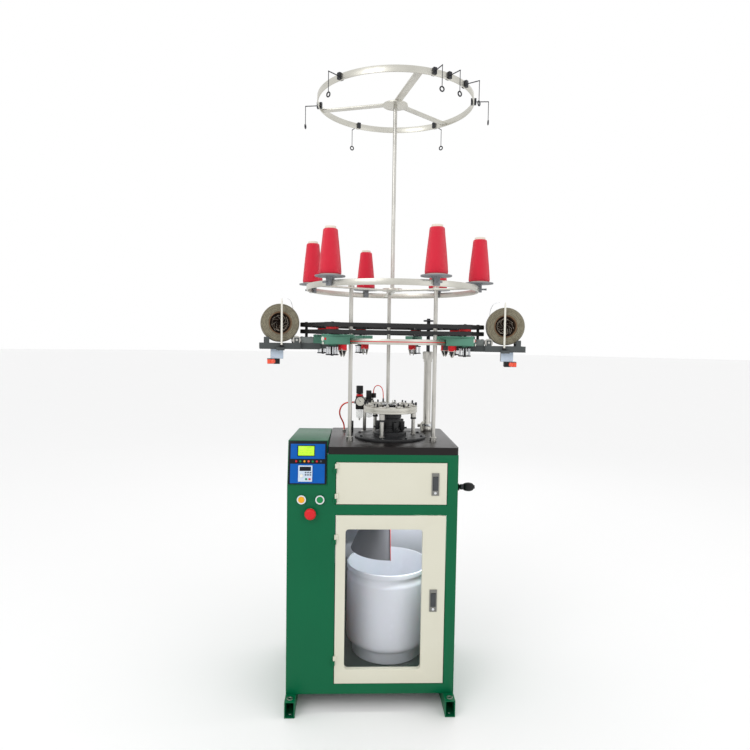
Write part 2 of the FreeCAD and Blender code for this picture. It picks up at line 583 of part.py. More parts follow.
def knitting_head():
    base = sleeve((0, 0), HEAD_DISC_R, SHAFT_R + 4, TABLE_HEIGHT, HEAD_TOP)
    cams = sleeve((0, 0), CAM_BOX_R, SHAFT_R + PART_GAP, HEAD_TOP, RING_BASE - 22)
    skirt = sleeve((0, 0), CAM_BOX_R + 22, CAM_BOX_R + PART_GAP, HEAD_TOP, HEAD_TOP + 14)
    cap = sleeve((0, 0), CAM_BOX_R + 3, SHAFT_R + PART_GAP, RING_BASE - 22, RING_BASE - 4)
    carrier = outward(CAM_BOX_R + 3.5, RING_BORE_R - 4, 12, HEAD_TOP + 14, RING_BASE - 30)
    carriers = [swing(carrier, 130 + 70 * turn) for turn in range(2)]
    posts = []
    for angle in (-23.0, 97.0, 217.0):
        at = polar(POST_CIRCLE, angle)
        posts.append(disc(at, POST_R, HEAD_TOP, RING_BASE - 28))
        posts.append(disc(at, POST_R + 3.5, RING_BASE - 28, RING_BASE - 22))
        posts.append(disc(at, POST_R + 3.0, RING_BASE - 22, RING_BASE))
    write("cam_box", base, cams, skirt, cap, *carriers, *posts)
    body = disc((0, 0), SHAFT_R, TABLE_HEIGHT + 5, RING_TOP + 2)
    for turn in range(36):
        groove = block(-0.5, 0.5, -SHAFT_R - 1, -SHAFT_R + 1.5, RING_BASE - 12, RING_TOP + 3)
        body = body.cut(swing(groove, 10.0 * turn))
    write("needle_cylinder", body.cut(disc((0, 0), BORE_R, TABLE_HEIGHT, RING_TOP + 3)))
    ring = sleeve((0, 0), RING_R, RING_BORE_R, RING_BASE, RING_TOP)
    write("guide_ring", ring)
    bits = []
    for turn in range(12):
        angle = 15.0 + 30.0 * turn
        tall = 12.0 if turn % 3 else 18.0
        bits.append(swing(outward(68, 92, 5, RING_TOP, RING_TOP + 8), angle))
        bits.append(disc(polar(86, angle), 3.2, RING_TOP + 8, RING_TOP + tall))
        bits.append(swing(outward(40, 68, 2, RING_TOP + 3, RING_TOP + 5), angle))
    write("yarn_guides", *bits)


# ---- air supply unit ----
AIR_AT = (-112.0, 100.0)
SECOND_AT = (-75.0, 100.0)
HOSE_PLUG_AT = (-170.0, 142.0)
HOSE_R = 3.0
PILOT_HOSE_R = 1.8


def air_unit():
    x, y = AIR_AT
    base = TABLE_HEIGHT + 90
    second_x = SECOND_AT[0]
    left = x + 15
    right = second_x - 14
    body = soften(block(x - 15, left, y - 15, y + 15, base, base + 50), 3.0, (0, 0, 1))
    second = soften(block(right, second_x + 14, y - 14, y + 14, base, base + 40), 3.0, (0, 0, 1))
    link = block(left, right, y - 9, y + 9, base + 14, base + 34)
    top = block(right + 2, right + 22, y - 12, y + 12, base + 40, base + 72)
    bowl = fuse(disc(AIR_AT, 12.5, base - 28, base), cone(AIR_AT, 8, 12.5, base - 35, base - 28),
                disc(AIR_AT, 3, base - 43, base - 35))
    small_bowl = fuse(disc(SECOND_AT, 11.5, base - 24, base), cone(SECOND_AT, 7, 11.5, base - 32, base - 24))
    collar = disc(AIR_AT, 13, base + 50, base + 57)
    gauge = rod(20, (x + 2, y - 30, base + 32), (x + 2, y - 21, base + 32))
    gauge_neck = rod(5, (x + 2, y - 21, base + 32), (x + 2, y - 15, base + 32))
    saddle = block(left + 0.2, right - 0.2, y + 9, y + 16, base + 14, base + 26)
    post = block(left - 1, right + 4, y + 16, y + 34, TABLE_HEIGHT, base + 44)
    valve = block(-68, -48, y + 14, y + 34, base + 42, base + 60)
    valve_arm = block(right + 4, -58, y + 20, y + 30, base + 32, base + 42)
    inlet = rod(5, (x - 15, y, base + 26), (x - 22, y, base + 26))
    plug = disc(HOSE_PLUG_AT, 7, TABLE_HEIGHT, TABLE_HEIGHT + 5)
    pilot = block(-148, -134, 112, 126, TABLE_HEIGHT, TABLE_HEIGHT + 42)
    write("air_unit", body, second, link, top, bowl, small_bowl, collar, gauge, gauge_neck, post, saddle,
          inlet, plug, fuse(valve, valve_arm), pilot)
    knob = soften(block(x - 13, x + 13, y - 13, y + 13, base + 60, base + 89), 3.0, (0, 0, 1))
    write("regulator_knob", fuse(knob, disc(AIR_AT, 6, base + 57.3, base + 60)))


def air_hoses():
    x, y = HOSE_PLUG_AT
    supply = [(-134, 100, 116), (-152, 100, 116), (-170, 102, 111), (-183, 107, 98), (-189, 114, 78),
              (-186, 125, 57), (-177, 136, 40), (x, y, 22), (x, y, 5)]
    pin = polar(86, 195)
    pilot = [(-58, 124, 150), (-58, 124, 162), (-54, 120, 174), (-46, 111, 181), (-36, 99, 181),
             (-27, 89, 173), (*pin, 157), (*pin, RING_TOP - TABLE_HEIGHT + 18)]
    # Each point's height is over the table top.
    supply, pilot = [[(px, py, TABLE_HEIGHT + over) for px, py, over in route] for route in (supply, pilot)]
    write("air_hose", hose(supply, HOSE_R), hose(pilot, PILOT_HOSE_R))


# ---- poles and rings ----

def support_poles():
    poles = [disc(polar(POLE_CIRCLE, angle), POLE_R, TABLE_HEIGHT, CONE_RING_BASE + 4)
             for angle in POLE_ANGLES]
    feet = [sleeve(polar(POLE_CIRCLE, angle), POLE_R + 5, POLE_R, TABLE_HEIGHT, TABLE_HEIGHT + 14)
            for angle in POLE_ANGLES]
    poles = [fuse(pole, foot) for pole, foot in zip(poles, feet)]
    mast = disc((0, 0), MAST_R, CONE_RING_BASE + 14, TOP_RING_TOP - TOP_RING_HIGH)
    write("support_poles", *poles, mast)


def feeder_ring():
    inner = FEEDER_RING_R - FEEDER_RING_WIDE
    top = FEEDER_RING_BASE + FEEDER_RING_HIGH
    ring = sleeve((0, 0), FEEDER_RING_R, inner, FEEDER_RING_BASE, top)
    clamps = []
    for angle in POLE_ANGLES:
        clamp = outward(POLE_CIRCLE - 14, inner - PART_GAP, 11, FEEDER_RING_BASE + 2, top - 2)
        hole = disc((0, -POLE_CIRCLE), POLE_R + 0.1, FEEDER_RING_BASE, top)
        clamps.append(swing(clamp.cut(hole), angle))
    write("feeder_ring", ring, *clamps)


def feeders():
    top = FEEDER_RING_BASE + FEEDER_RING_HIGH
    inner = FEEDER_RING_R - FEEDER_RING_WIDE
    half = FEEDER_BODY_HALF
    housing_top = LOWER_BELT[0] - 2.5
    housings = []
    detectors = []
    for angle in FEEDER_ANGLES:
        body = outward(FEEDER_RING_R + 1.5, FEEDER_AXIS_R + 34, half, FEEDER_RING_BASE - 2, housing_top)
        body = soften(body, 8.0, (0, 0, 1))
        bridge = outward(inner - 10, FEEDER_RING_R + 12, half - 4, top, housing_top)
        jaw = outward(inner - 10, inner - 4, half - 6, FEEDER_RING_BASE + 2, top)
        hole = disc((0, -FEEDER_AXIS_R), FEEDER_SHAFT_R + RUN_FIT, FEEDER_RING_BASE - 9, housing_top + 9)
        housings.append(swing(fuse(body, bridge, jaw).cut(hole), angle))
        # ribbed red stop lever cap and the two V-shaped yarn feelers under the housing
        cap_r = FEEDER_AXIS_R - 44
        hub = disc((0, -cap_r), 15, FEEDER_RING_BASE - 20, FEEDER_RING_BASE - 2)
        feelers = []
        for side in (-9.0, 9.0):
            blade = Part.makePolygon([Vector(side - 1, -cap_r - 12, FEEDER_RING_BASE - 20),
                                      Vector(side - 1, -cap_r + 12, FEEDER_RING_BASE - 20),
                                      Vector(side - 1, -cap_r + 1, FEEDER_RING_BASE - 44),
                                      Vector(side - 1, -cap_r - 12, FEEDER_RING_BASE - 20)])
            feelers.append(swing(Part.Face(blade).extrude(Vector(2, 0, 0)), angle))
        detectors.append(swing(hub, angle))
        detectors.extend(feelers)
        guide = outward(FEEDER_AXIS_R + 34, FEEDER_AXIS_R + 42, 5, FEEDER_RING_BASE, FEEDER_RING_BASE + 10)
        detectors.append(swing(guide, angle))
    write("feeder_housings", *housings)
    write("stop_detectors", *detectors)
    for number, angle in enumerate(FEEDER_ANGLES, start=1):
        at = (0, -FEEDER_AXIS_R)
        shaft = disc(at, FEEDER_SHAFT_R, FEEDER_RING_BASE - 40, UPPER_BELT[1] + 3)
        lower = disc(at, FEEDER_PULLEY_R, LOWER_BELT[0] - 0.8, LOWER_BELT[1] + 0.8)
        upper = disc(at, FEEDER_PULLEY_R, UPPER_BELT[0] - 0.8, UPPER_BELT[1] + 0.8)
        clutch = disc(at, FEEDER_PULLEY_R - 6, LOWER_BELT[1] + 0.8, UPPER_BELT[0] - 0.8)
        wheel = fuse(disc(at, 22, FEEDER_RING_BASE - 38, FEEDER_RING_BASE - 34),
                     disc(at, 17, FEEDER_RING_BASE - 34, FEEDER_RING_BASE - 10),
                     disc(at, 22, FEEDER_RING_BASE - 10, FEEDER_RING_BASE - 6))
        write("feeder_spindle_%d" % number, swing(fuse(shaft, lower, upper, clutch, wheel), angle))


def feeder_belts():
    stations = [(angle, FEEDER_AXIS_R, FEEDER_PULLEY_R) for angle in FEEDER_ANGLES]
    stations += [(angle, SPOOL_DRIVE_AXIS_R, SPOOL_DRIVE_R) for angle in SPOOL_ANGLES]
    column_angle = math.degrees(math.atan2(COLUMN_AT[0], -COLUMN_AT[1]))
    stations.append((column_angle, math.hypot(*COLUMN_AT), DRIVE_WHEEL_R))
    circles = [(*polar(reach, angle), radius) for angle, reach, radius in sorted(stations)]
    write("feeder_belts", belt(circles, *LOWER_BELT), belt(circles, *UPPER_BELT))


def belt_column():
    clamp = sleeve(COLUMN_AT, COLUMN_R + 7, COLUMN_SHAFT_R + 3, TABLE_HEIGHT, TABLE_HEIGHT + 12)
    band = sleeve(COLUMN_AT, COLUMN_R + 3, COLUMN_R, TABLE_HEIGHT + 12, TABLE_HEIGHT + 34)
    tube = sleeve(COLUMN_AT, COLUMN_R, COLUMN_SHAFT_R + 3, TABLE_HEIGHT + 12, COLUMN_SLEEVE_TOP - 41)
    collar = sleeve(COLUMN_AT, COLUMN_R + 2.5, COLUMN_SHAFT_R + RUN_FIT,
                    COLUMN_SLEEVE_TOP - 41, COLUMN_SLEEVE_TOP)
    side = COLUMN_AT[0] - COLUMN_R
    lug = block(side - 22, side - 1, COLUMN_AT[1] - 6, COLUMN_AT[1] + 6, TABLE_HEIGHT + 14, TABLE_HEIGHT + 26)
    write("belt_column", fuse(clamp, band, tube, collar, lug))
    shaft = disc(COLUMN_AT, COLUMN_SHAFT_R, COLUMN_BELT[0] - 4, UPPER_BELT[1] + 30)
    low = fuse(disc(COLUMN_AT, MOTOR_PULLEY_R, COLUMN_BELT[0] - 1, COLUMN_BELT[1] + 1),
               disc(COLUMN_AT, MOTOR_PULLEY_R + 4, COLUMN_BELT[0] - 4, COLUMN_BELT[0] - 1))
    wheels = [disc(COLUMN_AT, DRIVE_WHEEL_R, span[0] - 1, span[1] + 1) for span in (LOWER_BELT, UPPER_BELT)]
    plates = [disc(COLUMN_AT, DRIVE_WHEEL_R + 3, z, z + 1.5)
              for z in (LOWER_BELT[0] - 2.5, UPPER_BELT[1] + 1)]
    dial = disc(COLUMN_AT, 20, UPPER_BELT[1] + 18, UPPER_BELT[1] + 24)
    write("column_shaft", fuse(shaft, low, dial, *wheels, *plates))


def cone_ring():
    ring = sleeve((0, 0), CONE_RING_R, CONE_RING_R - BAND, CONE_RING_BASE, CONE_RING_BASE + CONE_RING_HIGH)
    spoke_z = (CONE_RING_BASE + 4, CONE_RING_BASE + 9)
    hub = disc((0, 0), 36, spoke_z[0], CONE_RING_BASE + 14)
    spokes = [swing(outward(0, CONE_RING_R - BAND / 2, SPOKE_WIDE / 2, *spoke_z), angle)
              for angle in POLE_ANGLES]
    nuts = []
    for angle in POLE_ANGLES:
        nuts.append(disc(polar(POLE_CIRCLE, angle), POLE_R + 4, spoke_z[1], spoke_z[1] + 7))
    write("cone_ring", fuse(ring, hub, *spokes), *nuts)
    top = CONE_RING_BASE + CONE_RING_HIGH
    disc_z = (top + 10, top + 14)
    holders = []
    cones = []
    for angle in CONE_ANGLES:
        at = (0, -CONE_RING_R)
        bridge = outward(CONE_RING_R - BAND - 8, CONE_RING_R + 10, 9, top, disc_z[0])
        jaws = fuse(outward(CONE_RING_R + 0.4, CONE_RING_R + 10, 9, CONE_RING_BASE + 1, top),
                    outward(CONE_RING_R - BAND - 8, CONE_RING_R - BAND - 0.4, 9, CONE_RING_BASE + 1, top))
        screw = rod(3, (0, -CONE_RING_R - 9, top - 9), (0, -CONE_RING_R - 24, top - 9))
        wing = block(-7, 7, -CONE_RING_R - 27, -CONE_RING_R - 23, top - 12, top - 6)
        peg = fuse(disc(at, 5, disc_z[1], disc_z[1] + 70), disc(at, 12, disc_z[1], disc_z[1] + 6))
        plate = disc(at, CONE_DISC_R, *disc_z)
        holders.append(swing(fuse(bridge, jaws, screw, wing, plate, peg), angle))
        base = disc_z[1] + 0.1
        outline = [(32, base), (34, base), (33.4, base + 12), (CONE_BASE_R, base + 12),
                   (CONE_TOP_R, base + 12 + CONE_HEIGHT), (19, base + 12 + CONE_HEIGHT),
                   (18.4, base + 20 + CONE_HEIGHT), (16.4, base + 20 + CONE_HEIGHT), (32, base)]
        face = Part.Face(Part.makePolygon([Vector(r, 0, z) for r, z in outline]))
        body = face.revolve(Vector(0, 0, 0), Vector(0, 0, 1), 360)
        body.translate(Vector(*polar(CONE_RING_R, angle), 0))
        cones.append(body)
    write("cone_holders", *holders)
    write("yarn_cones", *cones)


def top_ring():
    base = TOP_RING_TOP - TOP_RING_HIGH
    ring = sleeve((0, 0), TOP_RING_R, TOP_RING_R - BAND, base, TOP_RING_TOP - GUIDE_CAP)
    hub = disc((0, 0), 45, base, base + 5)
    spokes = [swing(outward(0, TOP_RING_R - BAND / 2, SPOKE_WIDE / 2, base + 5, base + 9), angle)
              for angle in TOP_SPOKE_ANGLES]
    screws = [disc(polar(30, angle), 4, base + 9, base + 12) for angle in TOP_SPOKE_ANGLES]
    write("top_ring", fuse(ring, hub, *spokes, *screws))
    guides = []
    for angle in GUIDE_ANGLES:
        cap_base = TOP_RING_TOP - GUIDE_CAP
        outer = fuse(outward(TOP_RING_R + 0.3, TOP_RING_R + 8, 6, base + 2, cap_base),
                     outward(TOP_RING_R - BAND - 7, TOP_RING_R - BAND - 0.3, 6, base + 2, cap_base),
                     outward(TOP_RING_R - BAND - 7, TOP_RING_R + 8, 6, cap_base, TOP_RING_TOP))
        reach = TOP_RING_R + 52
        arm = rod(1.6, (0, -TOP_RING_R - 7, base + 12), (0, -reach, base + 12))
        drop = rod(1.2, (0, -reach + 1, base + 12), (0, -reach + 1, base - 52))
        eye = Part.makeTorus(7, 2.2, Vector(0, -reach + 1, base - 60), Vector(0, 1, 0))
        guides.append(swing(fuse(outer, arm, drop, eye), angle))
    write("thread_guides", *guides)


# ---- elastic yarn spool units ----

def roller_height():
    return SPOOL_HEIGHT - math.sqrt((SPOOL_R + ROLLER_R + 0.3) ** 2 - ROLLER_OFFSET ** 2)


def rest_height():
    return SPOOL_HEIGHT - math.sqrt((SPOOL_R + REST_ROD_R + 0.3) ** 2 - REST_OFFSET ** 2)


def spool_tray():
    half = SPOOL_LENGTH / 2 + 5.0 + TRAY_LIP
    top = TRAY_BASE + TRAY_HIGH
    tray = outward(TRAY_SHOULDER, TRAY[1], half, TRAY_BASE, top)
    tray = tray.cut(outward(TRAY_SHOULDER - 1, TRAY[1] + 1, half - TRAY_LIP, TRAY_BASE + SHEET, top + 1))
    neck = outward(TRAY[0], TRAY_SHOULDER, TRAY_NECK_HALF, TRAY_BASE, top)
    neck = neck.cut(outward(TRAY[0] - 1, TRAY_SHOULDER + 1, TRAY_NECK_HALF - SHEET,
                            TRAY_BASE + SHEET, top + 1))
    roller_y = -(SPOOL_AXIS_R - ROLLER_OFFSET)
    rest_y = -(SPOOL_AXIS_R + REST_OFFSET)
    ears = []
    for side in (-half, half - TRAY_LIP):
        for y, z in ((roller_y, roller_height()), (rest_y, rest_height())):
            ears.append(block(side, side + TRAY_LIP, y - 8, y + 8, TRAY_BASE, z + 8))
    tray = fuse(tray, neck, *ears)
    roller_z = roller_height()
    rest_z = rest_height()
    tray = tray.cut(rod(4 + RUN_FIT, (-half - 1, roller_y, roller_z), (half + 1, roller_y, roller_z)))
    rest = rod(REST_ROD_R, (-half + TRAY_LIP, rest_y, rest_z), (half - TRAY_LIP, rest_y, rest_z))
    arm = outward(FEEDER_RING_R + 1.5, TRAY[0], 15, TRAY_BASE + SHEET, TRAY_BASE + SHEET + 16)
    foot = outward(FEEDER_RING_R - FEEDER_RING_WIDE - 6, FEEDER_RING_R + 12, 15,
                   TRAY_BASE + SHEET, FEEDER_RING_BASE)
    cap = outward(FEEDER_RING_R - FEEDER_RING_WIDE - 6, FEEDER_RING_R + 12, 13,
                  FEEDER_RING_BASE + FEEDER_RING_HIGH, FEEDER_RING_BASE + FEEDER_RING_HIGH + 5)
    gearbox = outward(SPOOL_DRIVE_AXIS_R - 22, SPOOL_DRIVE_AXIS_R + 22, 25, TRAY_BASE + SHEET, GEARBOX_TOP)
    gearbox = gearbox.cut(disc((0, -SPOOL_DRIVE_AXIS_R), FEEDER_SHAFT_R + RUN_FIT,
                               GEARBOX_TOP - 12, GEARBOX_TOP + 8))
    clip = block(-half - 12, -half, -SPOOL_AXIS_R - 14, -SPOOL_AXIS_R + 14, TRAY_BASE - 4, TRAY_BASE + 6)
    beside = (-half - 6, -SPOOL_AXIS_R + 4)
    needle = rod(3, (*beside, TRAY_BASE + 6), (*beside, SPOOL_HEIGHT + 56))
    bracket = block(-20, 20, -SPOOL_AXIS_R - 30, -SPOOL_AXIS_R + 12, TRAY_BASE - 34, TRAY_BASE)
    sensor = block(-24, 24, -SPOOL_AXIS_R - 42, -SPOOL_AXIS_R - 4, TRAY_BASE - 52, TRAY_BASE - 34)
    return [tray, rest, fuse(arm, foot), cap, gearbox, clip, needle, bracket, sensor]


def spool_units():
    parts = []
    for side, angle in zip(("right", "left"), SPOOL_ANGLES):
        mirror_y = 1 if side == "right" else -1
        for piece in spool_tray():
            if mirror_y < 0:
                piece = piece.mirror(Vector(0, 0, 0), Vector(1, 0, 0))
            parts.append(swing(piece, angle))
        half = SPOOL_LENGTH / 2 + 5.0
        y = -(SPOOL_AXIS_R - ROLLER_OFFSET)
        z = roller_height()
        roller = fuse(rod(ROLLER_R, (-half + 1, y, z), (half - 1, y, z)),
                      rod(4, (-half - 3, y, z), (half + 3, y, z)))
        write("spool_roller_" + side, swing(roller, angle))
        spool_y = -SPOOL_AXIS_R
        span = SPOOL_LENGTH / 2
        body = rod(SPOOL_R, (-span, spool_y, SPOOL_HEIGHT), (span, spool_y, SPOOL_HEIGHT))
        bore = rod(SPOOL_BORE_R, (-span - 1, spool_y, SPOOL_HEIGHT), (span + 1, spool_y, SPOOL_HEIGHT))
        write("spool_" + side, swing(body.cut(bore), angle))
        at = (0, -SPOOL_DRIVE_AXIS_R)
        shaft = disc(at, FEEDER_SHAFT_R, GEARBOX_TOP - 10, UPPER_BELT[1] + 3)
        wheels = [disc(at, SPOOL_DRIVE_R, low - 0.8, high + 0.8) for low, high in (LOWER_BELT, UPPER_BELT)]
        write("spool_drive_" + side, swing(fuse(shaft, *wheels), angle))
    write("spool_trays", *parts)


os.makedirs("parts", exist_ok=True)
foot_rails()
front_frame()
cabinet_panels()
inner_panels()
table_top()
console()
electrical_unit()
push_buttons()
doors()
fabric_drum()
fabric_chute()
compartment_lamp()
drive()
crank()
knitting_head()
air_unit()
air_hoses()
support_poles()
feeder_ring()
feeders()
feeder_belts()
belt_column()
cone_ring()
top_ring()
spool_units()
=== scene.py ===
import json
import math
import re

import bpy
from mathutils import Matrix, Vector

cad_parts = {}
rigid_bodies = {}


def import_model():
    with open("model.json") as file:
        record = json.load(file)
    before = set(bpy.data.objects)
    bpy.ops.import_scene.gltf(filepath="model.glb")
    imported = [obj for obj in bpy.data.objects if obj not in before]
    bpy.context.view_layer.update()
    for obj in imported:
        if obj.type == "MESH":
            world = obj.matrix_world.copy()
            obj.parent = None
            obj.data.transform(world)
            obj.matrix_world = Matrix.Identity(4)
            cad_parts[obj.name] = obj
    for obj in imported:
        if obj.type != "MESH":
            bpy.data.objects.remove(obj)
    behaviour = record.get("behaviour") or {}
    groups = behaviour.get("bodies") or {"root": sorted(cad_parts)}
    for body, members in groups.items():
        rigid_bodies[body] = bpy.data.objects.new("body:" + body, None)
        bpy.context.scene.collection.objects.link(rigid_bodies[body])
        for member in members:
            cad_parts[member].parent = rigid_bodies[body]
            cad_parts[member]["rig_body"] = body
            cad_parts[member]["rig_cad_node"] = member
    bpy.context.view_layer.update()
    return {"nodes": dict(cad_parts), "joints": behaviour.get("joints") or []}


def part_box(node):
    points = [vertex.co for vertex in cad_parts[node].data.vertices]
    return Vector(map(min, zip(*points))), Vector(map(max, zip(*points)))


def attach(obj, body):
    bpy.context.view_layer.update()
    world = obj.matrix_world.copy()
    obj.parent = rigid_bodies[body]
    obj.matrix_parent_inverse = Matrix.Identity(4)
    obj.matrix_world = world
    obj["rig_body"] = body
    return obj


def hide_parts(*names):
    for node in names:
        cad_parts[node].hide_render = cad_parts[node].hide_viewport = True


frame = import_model()
nodes = frame["nodes"]
joints = {joint["name"]: joint for joint in frame["joints"]}

# Metres. The front faces -Y. Angles are counted from the front towards +X, in degrees.


# modelling: nothing is left selected between pieces, and every place ends up in the mesh

def nothingSelected():
    if bpy.context.mode != "OBJECT":
        bpy.ops.object.mode_set(mode="OBJECT")
    bpy.ops.object.select_all(action="DESELECT")


def only(piece):
    nothingSelected()
    piece.select_set(True)
    bpy.context.view_layer.objects.active = piece
    return piece


def called(piece, name):
    piece.name = name
    piece.data.name = name
    return piece


def named(name):
    return called(bpy.context.active_object, name)


def settled(piece):
    only(piece)
    bpy.ops.object.transform_apply(location=True, rotation=True, scale=True)
    return piece


def applied(piece, kind, **settings):
    only(piece)
    modifier = piece.modifiers.new(kind.lower(), kind)
    for setting, value in settings.items():
        setattr(modifier, setting, value)
    bpy.ops.object.modifier_apply(modifier=modifier.name)
    return piece


def smooth(piece, angle=35):
    only(piece)
    bpy.ops.object.shade_smooth_by_angle(angle=math.radians(angle))
    return piece


def placed(piece, at, axis):
    turn = Vector((0, 0, 1)).rotation_difference(Vector(axis)).to_matrix().to_4x4()
    piece.matrix_world = Matrix.Translation(at) @ turn
    return settled(piece)


def cuboid(name, low, high):
    nothingSelected()
    low, high = Vector(low), Vector(high)
    bpy.ops.mesh.primitive_cube_add(size=1, location=(low + high) / 2, scale=high - low)
    return settled(named(name))


def block(name, low, high, edge=0.0008, segments=2):
    piece = cuboid(name, low, high)
    applied(piece, "BEVEL", width=edge, segments=segments, limit_method="NONE")
    return smooth(piece)


def turned(name, profile, at=(0, 0, 0), axis=(0, 0, 1), steps=40):
    # A profile of (radius, height) points is drawn vertex by vertex and spun about its axis.
    nothingSelected()
    bpy.ops.mesh.primitive_circle_add(vertices=3, radius=0.001)
    piece = named(name)
    bpy.ops.object.mode_set(mode="EDIT")
    bpy.ops.mesh.select_all(action="SELECT")
    bpy.ops.mesh.merge(type="CENTER")
    bpy.ops.transform.translate(value=(profile[0][0], 0, profile[0][1]))
    for before, after in zip(profile, profile[1:]):
        step = (after[0] - before[0], 0, after[1] - before[1])
        bpy.ops.mesh.extrude_region_move(TRANSFORM_OT_translate={"value": step})
    bpy.ops.mesh.select_all(action="SELECT")
    bpy.ops.mesh.spin(steps=steps, angle=2 * math.pi, center=(0, 0, 0), axis=(0, 0, 1))
    bpy.ops.mesh.select_all(action="SELECT")
    bpy.ops.mesh.remove_doubles(threshold=0.000005)
    bpy.ops.mesh.normals_make_consistent(inside=False)
    bpy.ops.object.mode_set(mode="OBJECT")
    return smooth(placed(piece, at, axis))


def closed(profile):
    return [*profile, profile[0]]


def lifted(profile, height):
    return [(radius, height + rise) for radius, rise in profile]


def solidProfile(radius, length, edge=0.0008):
    return [(0, 0), (radius - edge, 0), (radius, edge), (radius, length - edge), (radius - edge, length),
            (0, length)]


def hollowProfile(radius, bore, low, high, edge=0.0008):
    return closed([(bore, low + edge), (bore + edge, low), (radius - edge, low), (radius, low + edge),
                   (radius, high - edge), (radius - edge, high), (bore + edge, high), (bore, high - edge)])


def bar(name, start, end, radius, edge=0.0008, steps=24):
    along = Vector(end) - Vector(start)
    return turned(name, solidProfile(radius, along.length, edge), start, along, steps)


def ribbed(name, at, radius, length, ribs, depth, axis=(0, 0, 1)):
    # Every other side face of a cylinder is pulled out into a rib or tooth.
    nothingSelected()
    bpy.ops.mesh.primitive_cylinder_add(vertices=2 * ribs, radius=radius - depth, depth=length,
                                        location=(0, 0, length / 2))
    piece = settled(named(name))
    sides = [face for face in piece.data.polygons if abs(face.normal.z) < 0.5]
    for face in piece.data.polygons:
        face.select = False
    for face in sides[::2]:
        face.select = True
    bpy.ops.object.mode_set(mode="EDIT")
    bpy.ops.mesh.extrude_faces_move(TRANSFORM_OT_shrink_fatten={"value": depth})
    bpy.ops.object.mode_set(mode="OBJECT")
    placed(piece, at, axis)
    applied(piece, "BEVEL", width=depth * 0.35, segments=1, limit_method="ANGLE")
    return smooth(piece)


def wire(name, route, radius, closed=False, sides=2):
    curve = bpy.data.curves.new(name, "CURVE")
    curve.dimensions = "3D"
    curve.bevel_depth = radius
    curve.bevel_resolution = sides
    curve.resolution_u = 6
    curve.use_fill_caps = True
    spline = curve.splines.new("NURBS")
    spline.points.add(len(route) - 1)
    for point, place in zip(spline.points, route):
        point.co = (*place, 1)
    spline.order_u = 3
    spline.use_endpoint_u = not closed
    spline.use_cyclic_u = closed
    piece = bpy.data.objects.new(name, curve)
    bpy.context.scene.collection.objects.link(piece)
    only(piece)
    bpy.ops.object.convert(target="MESH")
    return smooth(named(name), 60)


def eyelet(name, at, axis, radius, thick):
    nothingSelected()
    turn = Vector((0, 0, 1)).rotation_difference(Vector(axis)).to_euler()
    bpy.ops.mesh.primitive_torus_add(location=at, rotation=turn, major_radius=radius, minor_radius=thick,
                                     major_segments=20, minor_segments=8)
    return smooth(settled(named(name)), 60)


def window(name, low, high, holeLow, holeHigh, edge=0.0006):
    # An upright plate in X and Z with a hole, cut out of one face by four bisecting planes.
    piece = cuboid(name, low, high)
    bpy.ops.object.mode_set(mode="EDIT")
    for place, normal in (((holeLow[0], 0, 0), (1, 0, 0)), ((holeHigh[0], 0, 0), (1, 0, 0)),
                          ((0, 0, holeLow[1]), (0, 0, 1)), ((0, 0, holeHigh[1]), (0, 0, 1))):
        bpy.ops.mesh.select_all(action="SELECT")
        bpy.ops.mesh.bisect(plane_co=place, plane_no=normal)
    bpy.ops.object.mode_set(mode="OBJECT")
    middle = ((holeLow[0] + holeHigh[0]) / 2, (holeLow[1] + holeHigh[1]) / 2)
    for face in piece.data.polygons:
        centre = face.center
        face.select = abs(face.normal.y) > 0.9 and math.dist((centre.x, centre.z), middle) < 0.0005
    bpy.ops.object.mode_set(mode="EDIT")
    bpy.ops.mesh.select_mode(type="FACE")
    bpy.ops.mesh.bridge_edge_loops()
    bpy.ops.mesh.select_all(action="SELECT")
    bpy.ops.mesh.normals_make_consistent(inside=False)
    bpy.ops.mesh.select_mode(type="VERT")
    bpy.ops.object.mode_set(mode="OBJECT")
    applied(piece, "BEVEL", width=edge, segments=2, limit_method="ANGLE")
    return smooth(piece)


def eased(node, edge=0.0008, segments=2):
    # The CAD shape with its sharp edges rounded: a merged copy stands for the node.
    piece = nodes[node].copy()
    piece.data = nodes[node].data.copy()
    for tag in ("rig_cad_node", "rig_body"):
        del piece[tag]
    piece.parent = None
    bpy.context.scene.collection.objects.link(piece)
    only(piece)
    named(node + "_eased")
    bpy.ops.object.mode_set(mode="EDIT")
    bpy.ops.mesh.select_all(action="SELECT")
    bpy.ops.mesh.remove_doubles(threshold=0.000002)
    bpy.ops.mesh.dissolve_limited(angle_limit=math.radians(0.5))
    bpy.ops.object.mode_set(mode="OBJECT")
    if edge:
        applied(piece, "BEVEL", width=edge, segments=segments, limit_method="ANGLE",
                angle_limit=math.radians(40))
    return smooth(piece)


def swung(piece, angle):
    twin = piece.copy()
    twin.data = piece.data.copy()
    bpy.context.scene.collection.objects.link(twin)
    twin.data.transform(Matrix.Rotation(math.radians(angle), 4, "Z"))
    return twin


def around(piece, angles):
    copies = [swung(piece, angle) for angle in angles]
    bpy.data.objects.remove(piece)
    return copies


def turnedTo(piece, angle, name):
    return called(around(piece, (angle,))[0], name)


def joined(name, pieces):
    nothingSelected()
    for piece in pieces:
        piece.select_set(True)
    bpy.context.view_layer.objects.active = pieces[0]
    if len(pieces) > 1:
        bpy.ops.object.join()
    return named(name)


def mirrored(piece):
    piece.data.transform(Matrix.Scale(-1, 4, (1, 0, 0)))
    piece.data.flip_normals()
    return piece


def kept(piece, body, finish, slot, *stoodFor):
    piece.data.materials.clear()
    piece.data.materials.append(finish)
    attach(piece, body)
    if stoodFor:
        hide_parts(*stoodFor)
    return piece


def polar(radius, angle, height):
    turn = math.radians(angle)
    return Vector((radius * math.sin(turn), -radius * math.cos(turn), height))


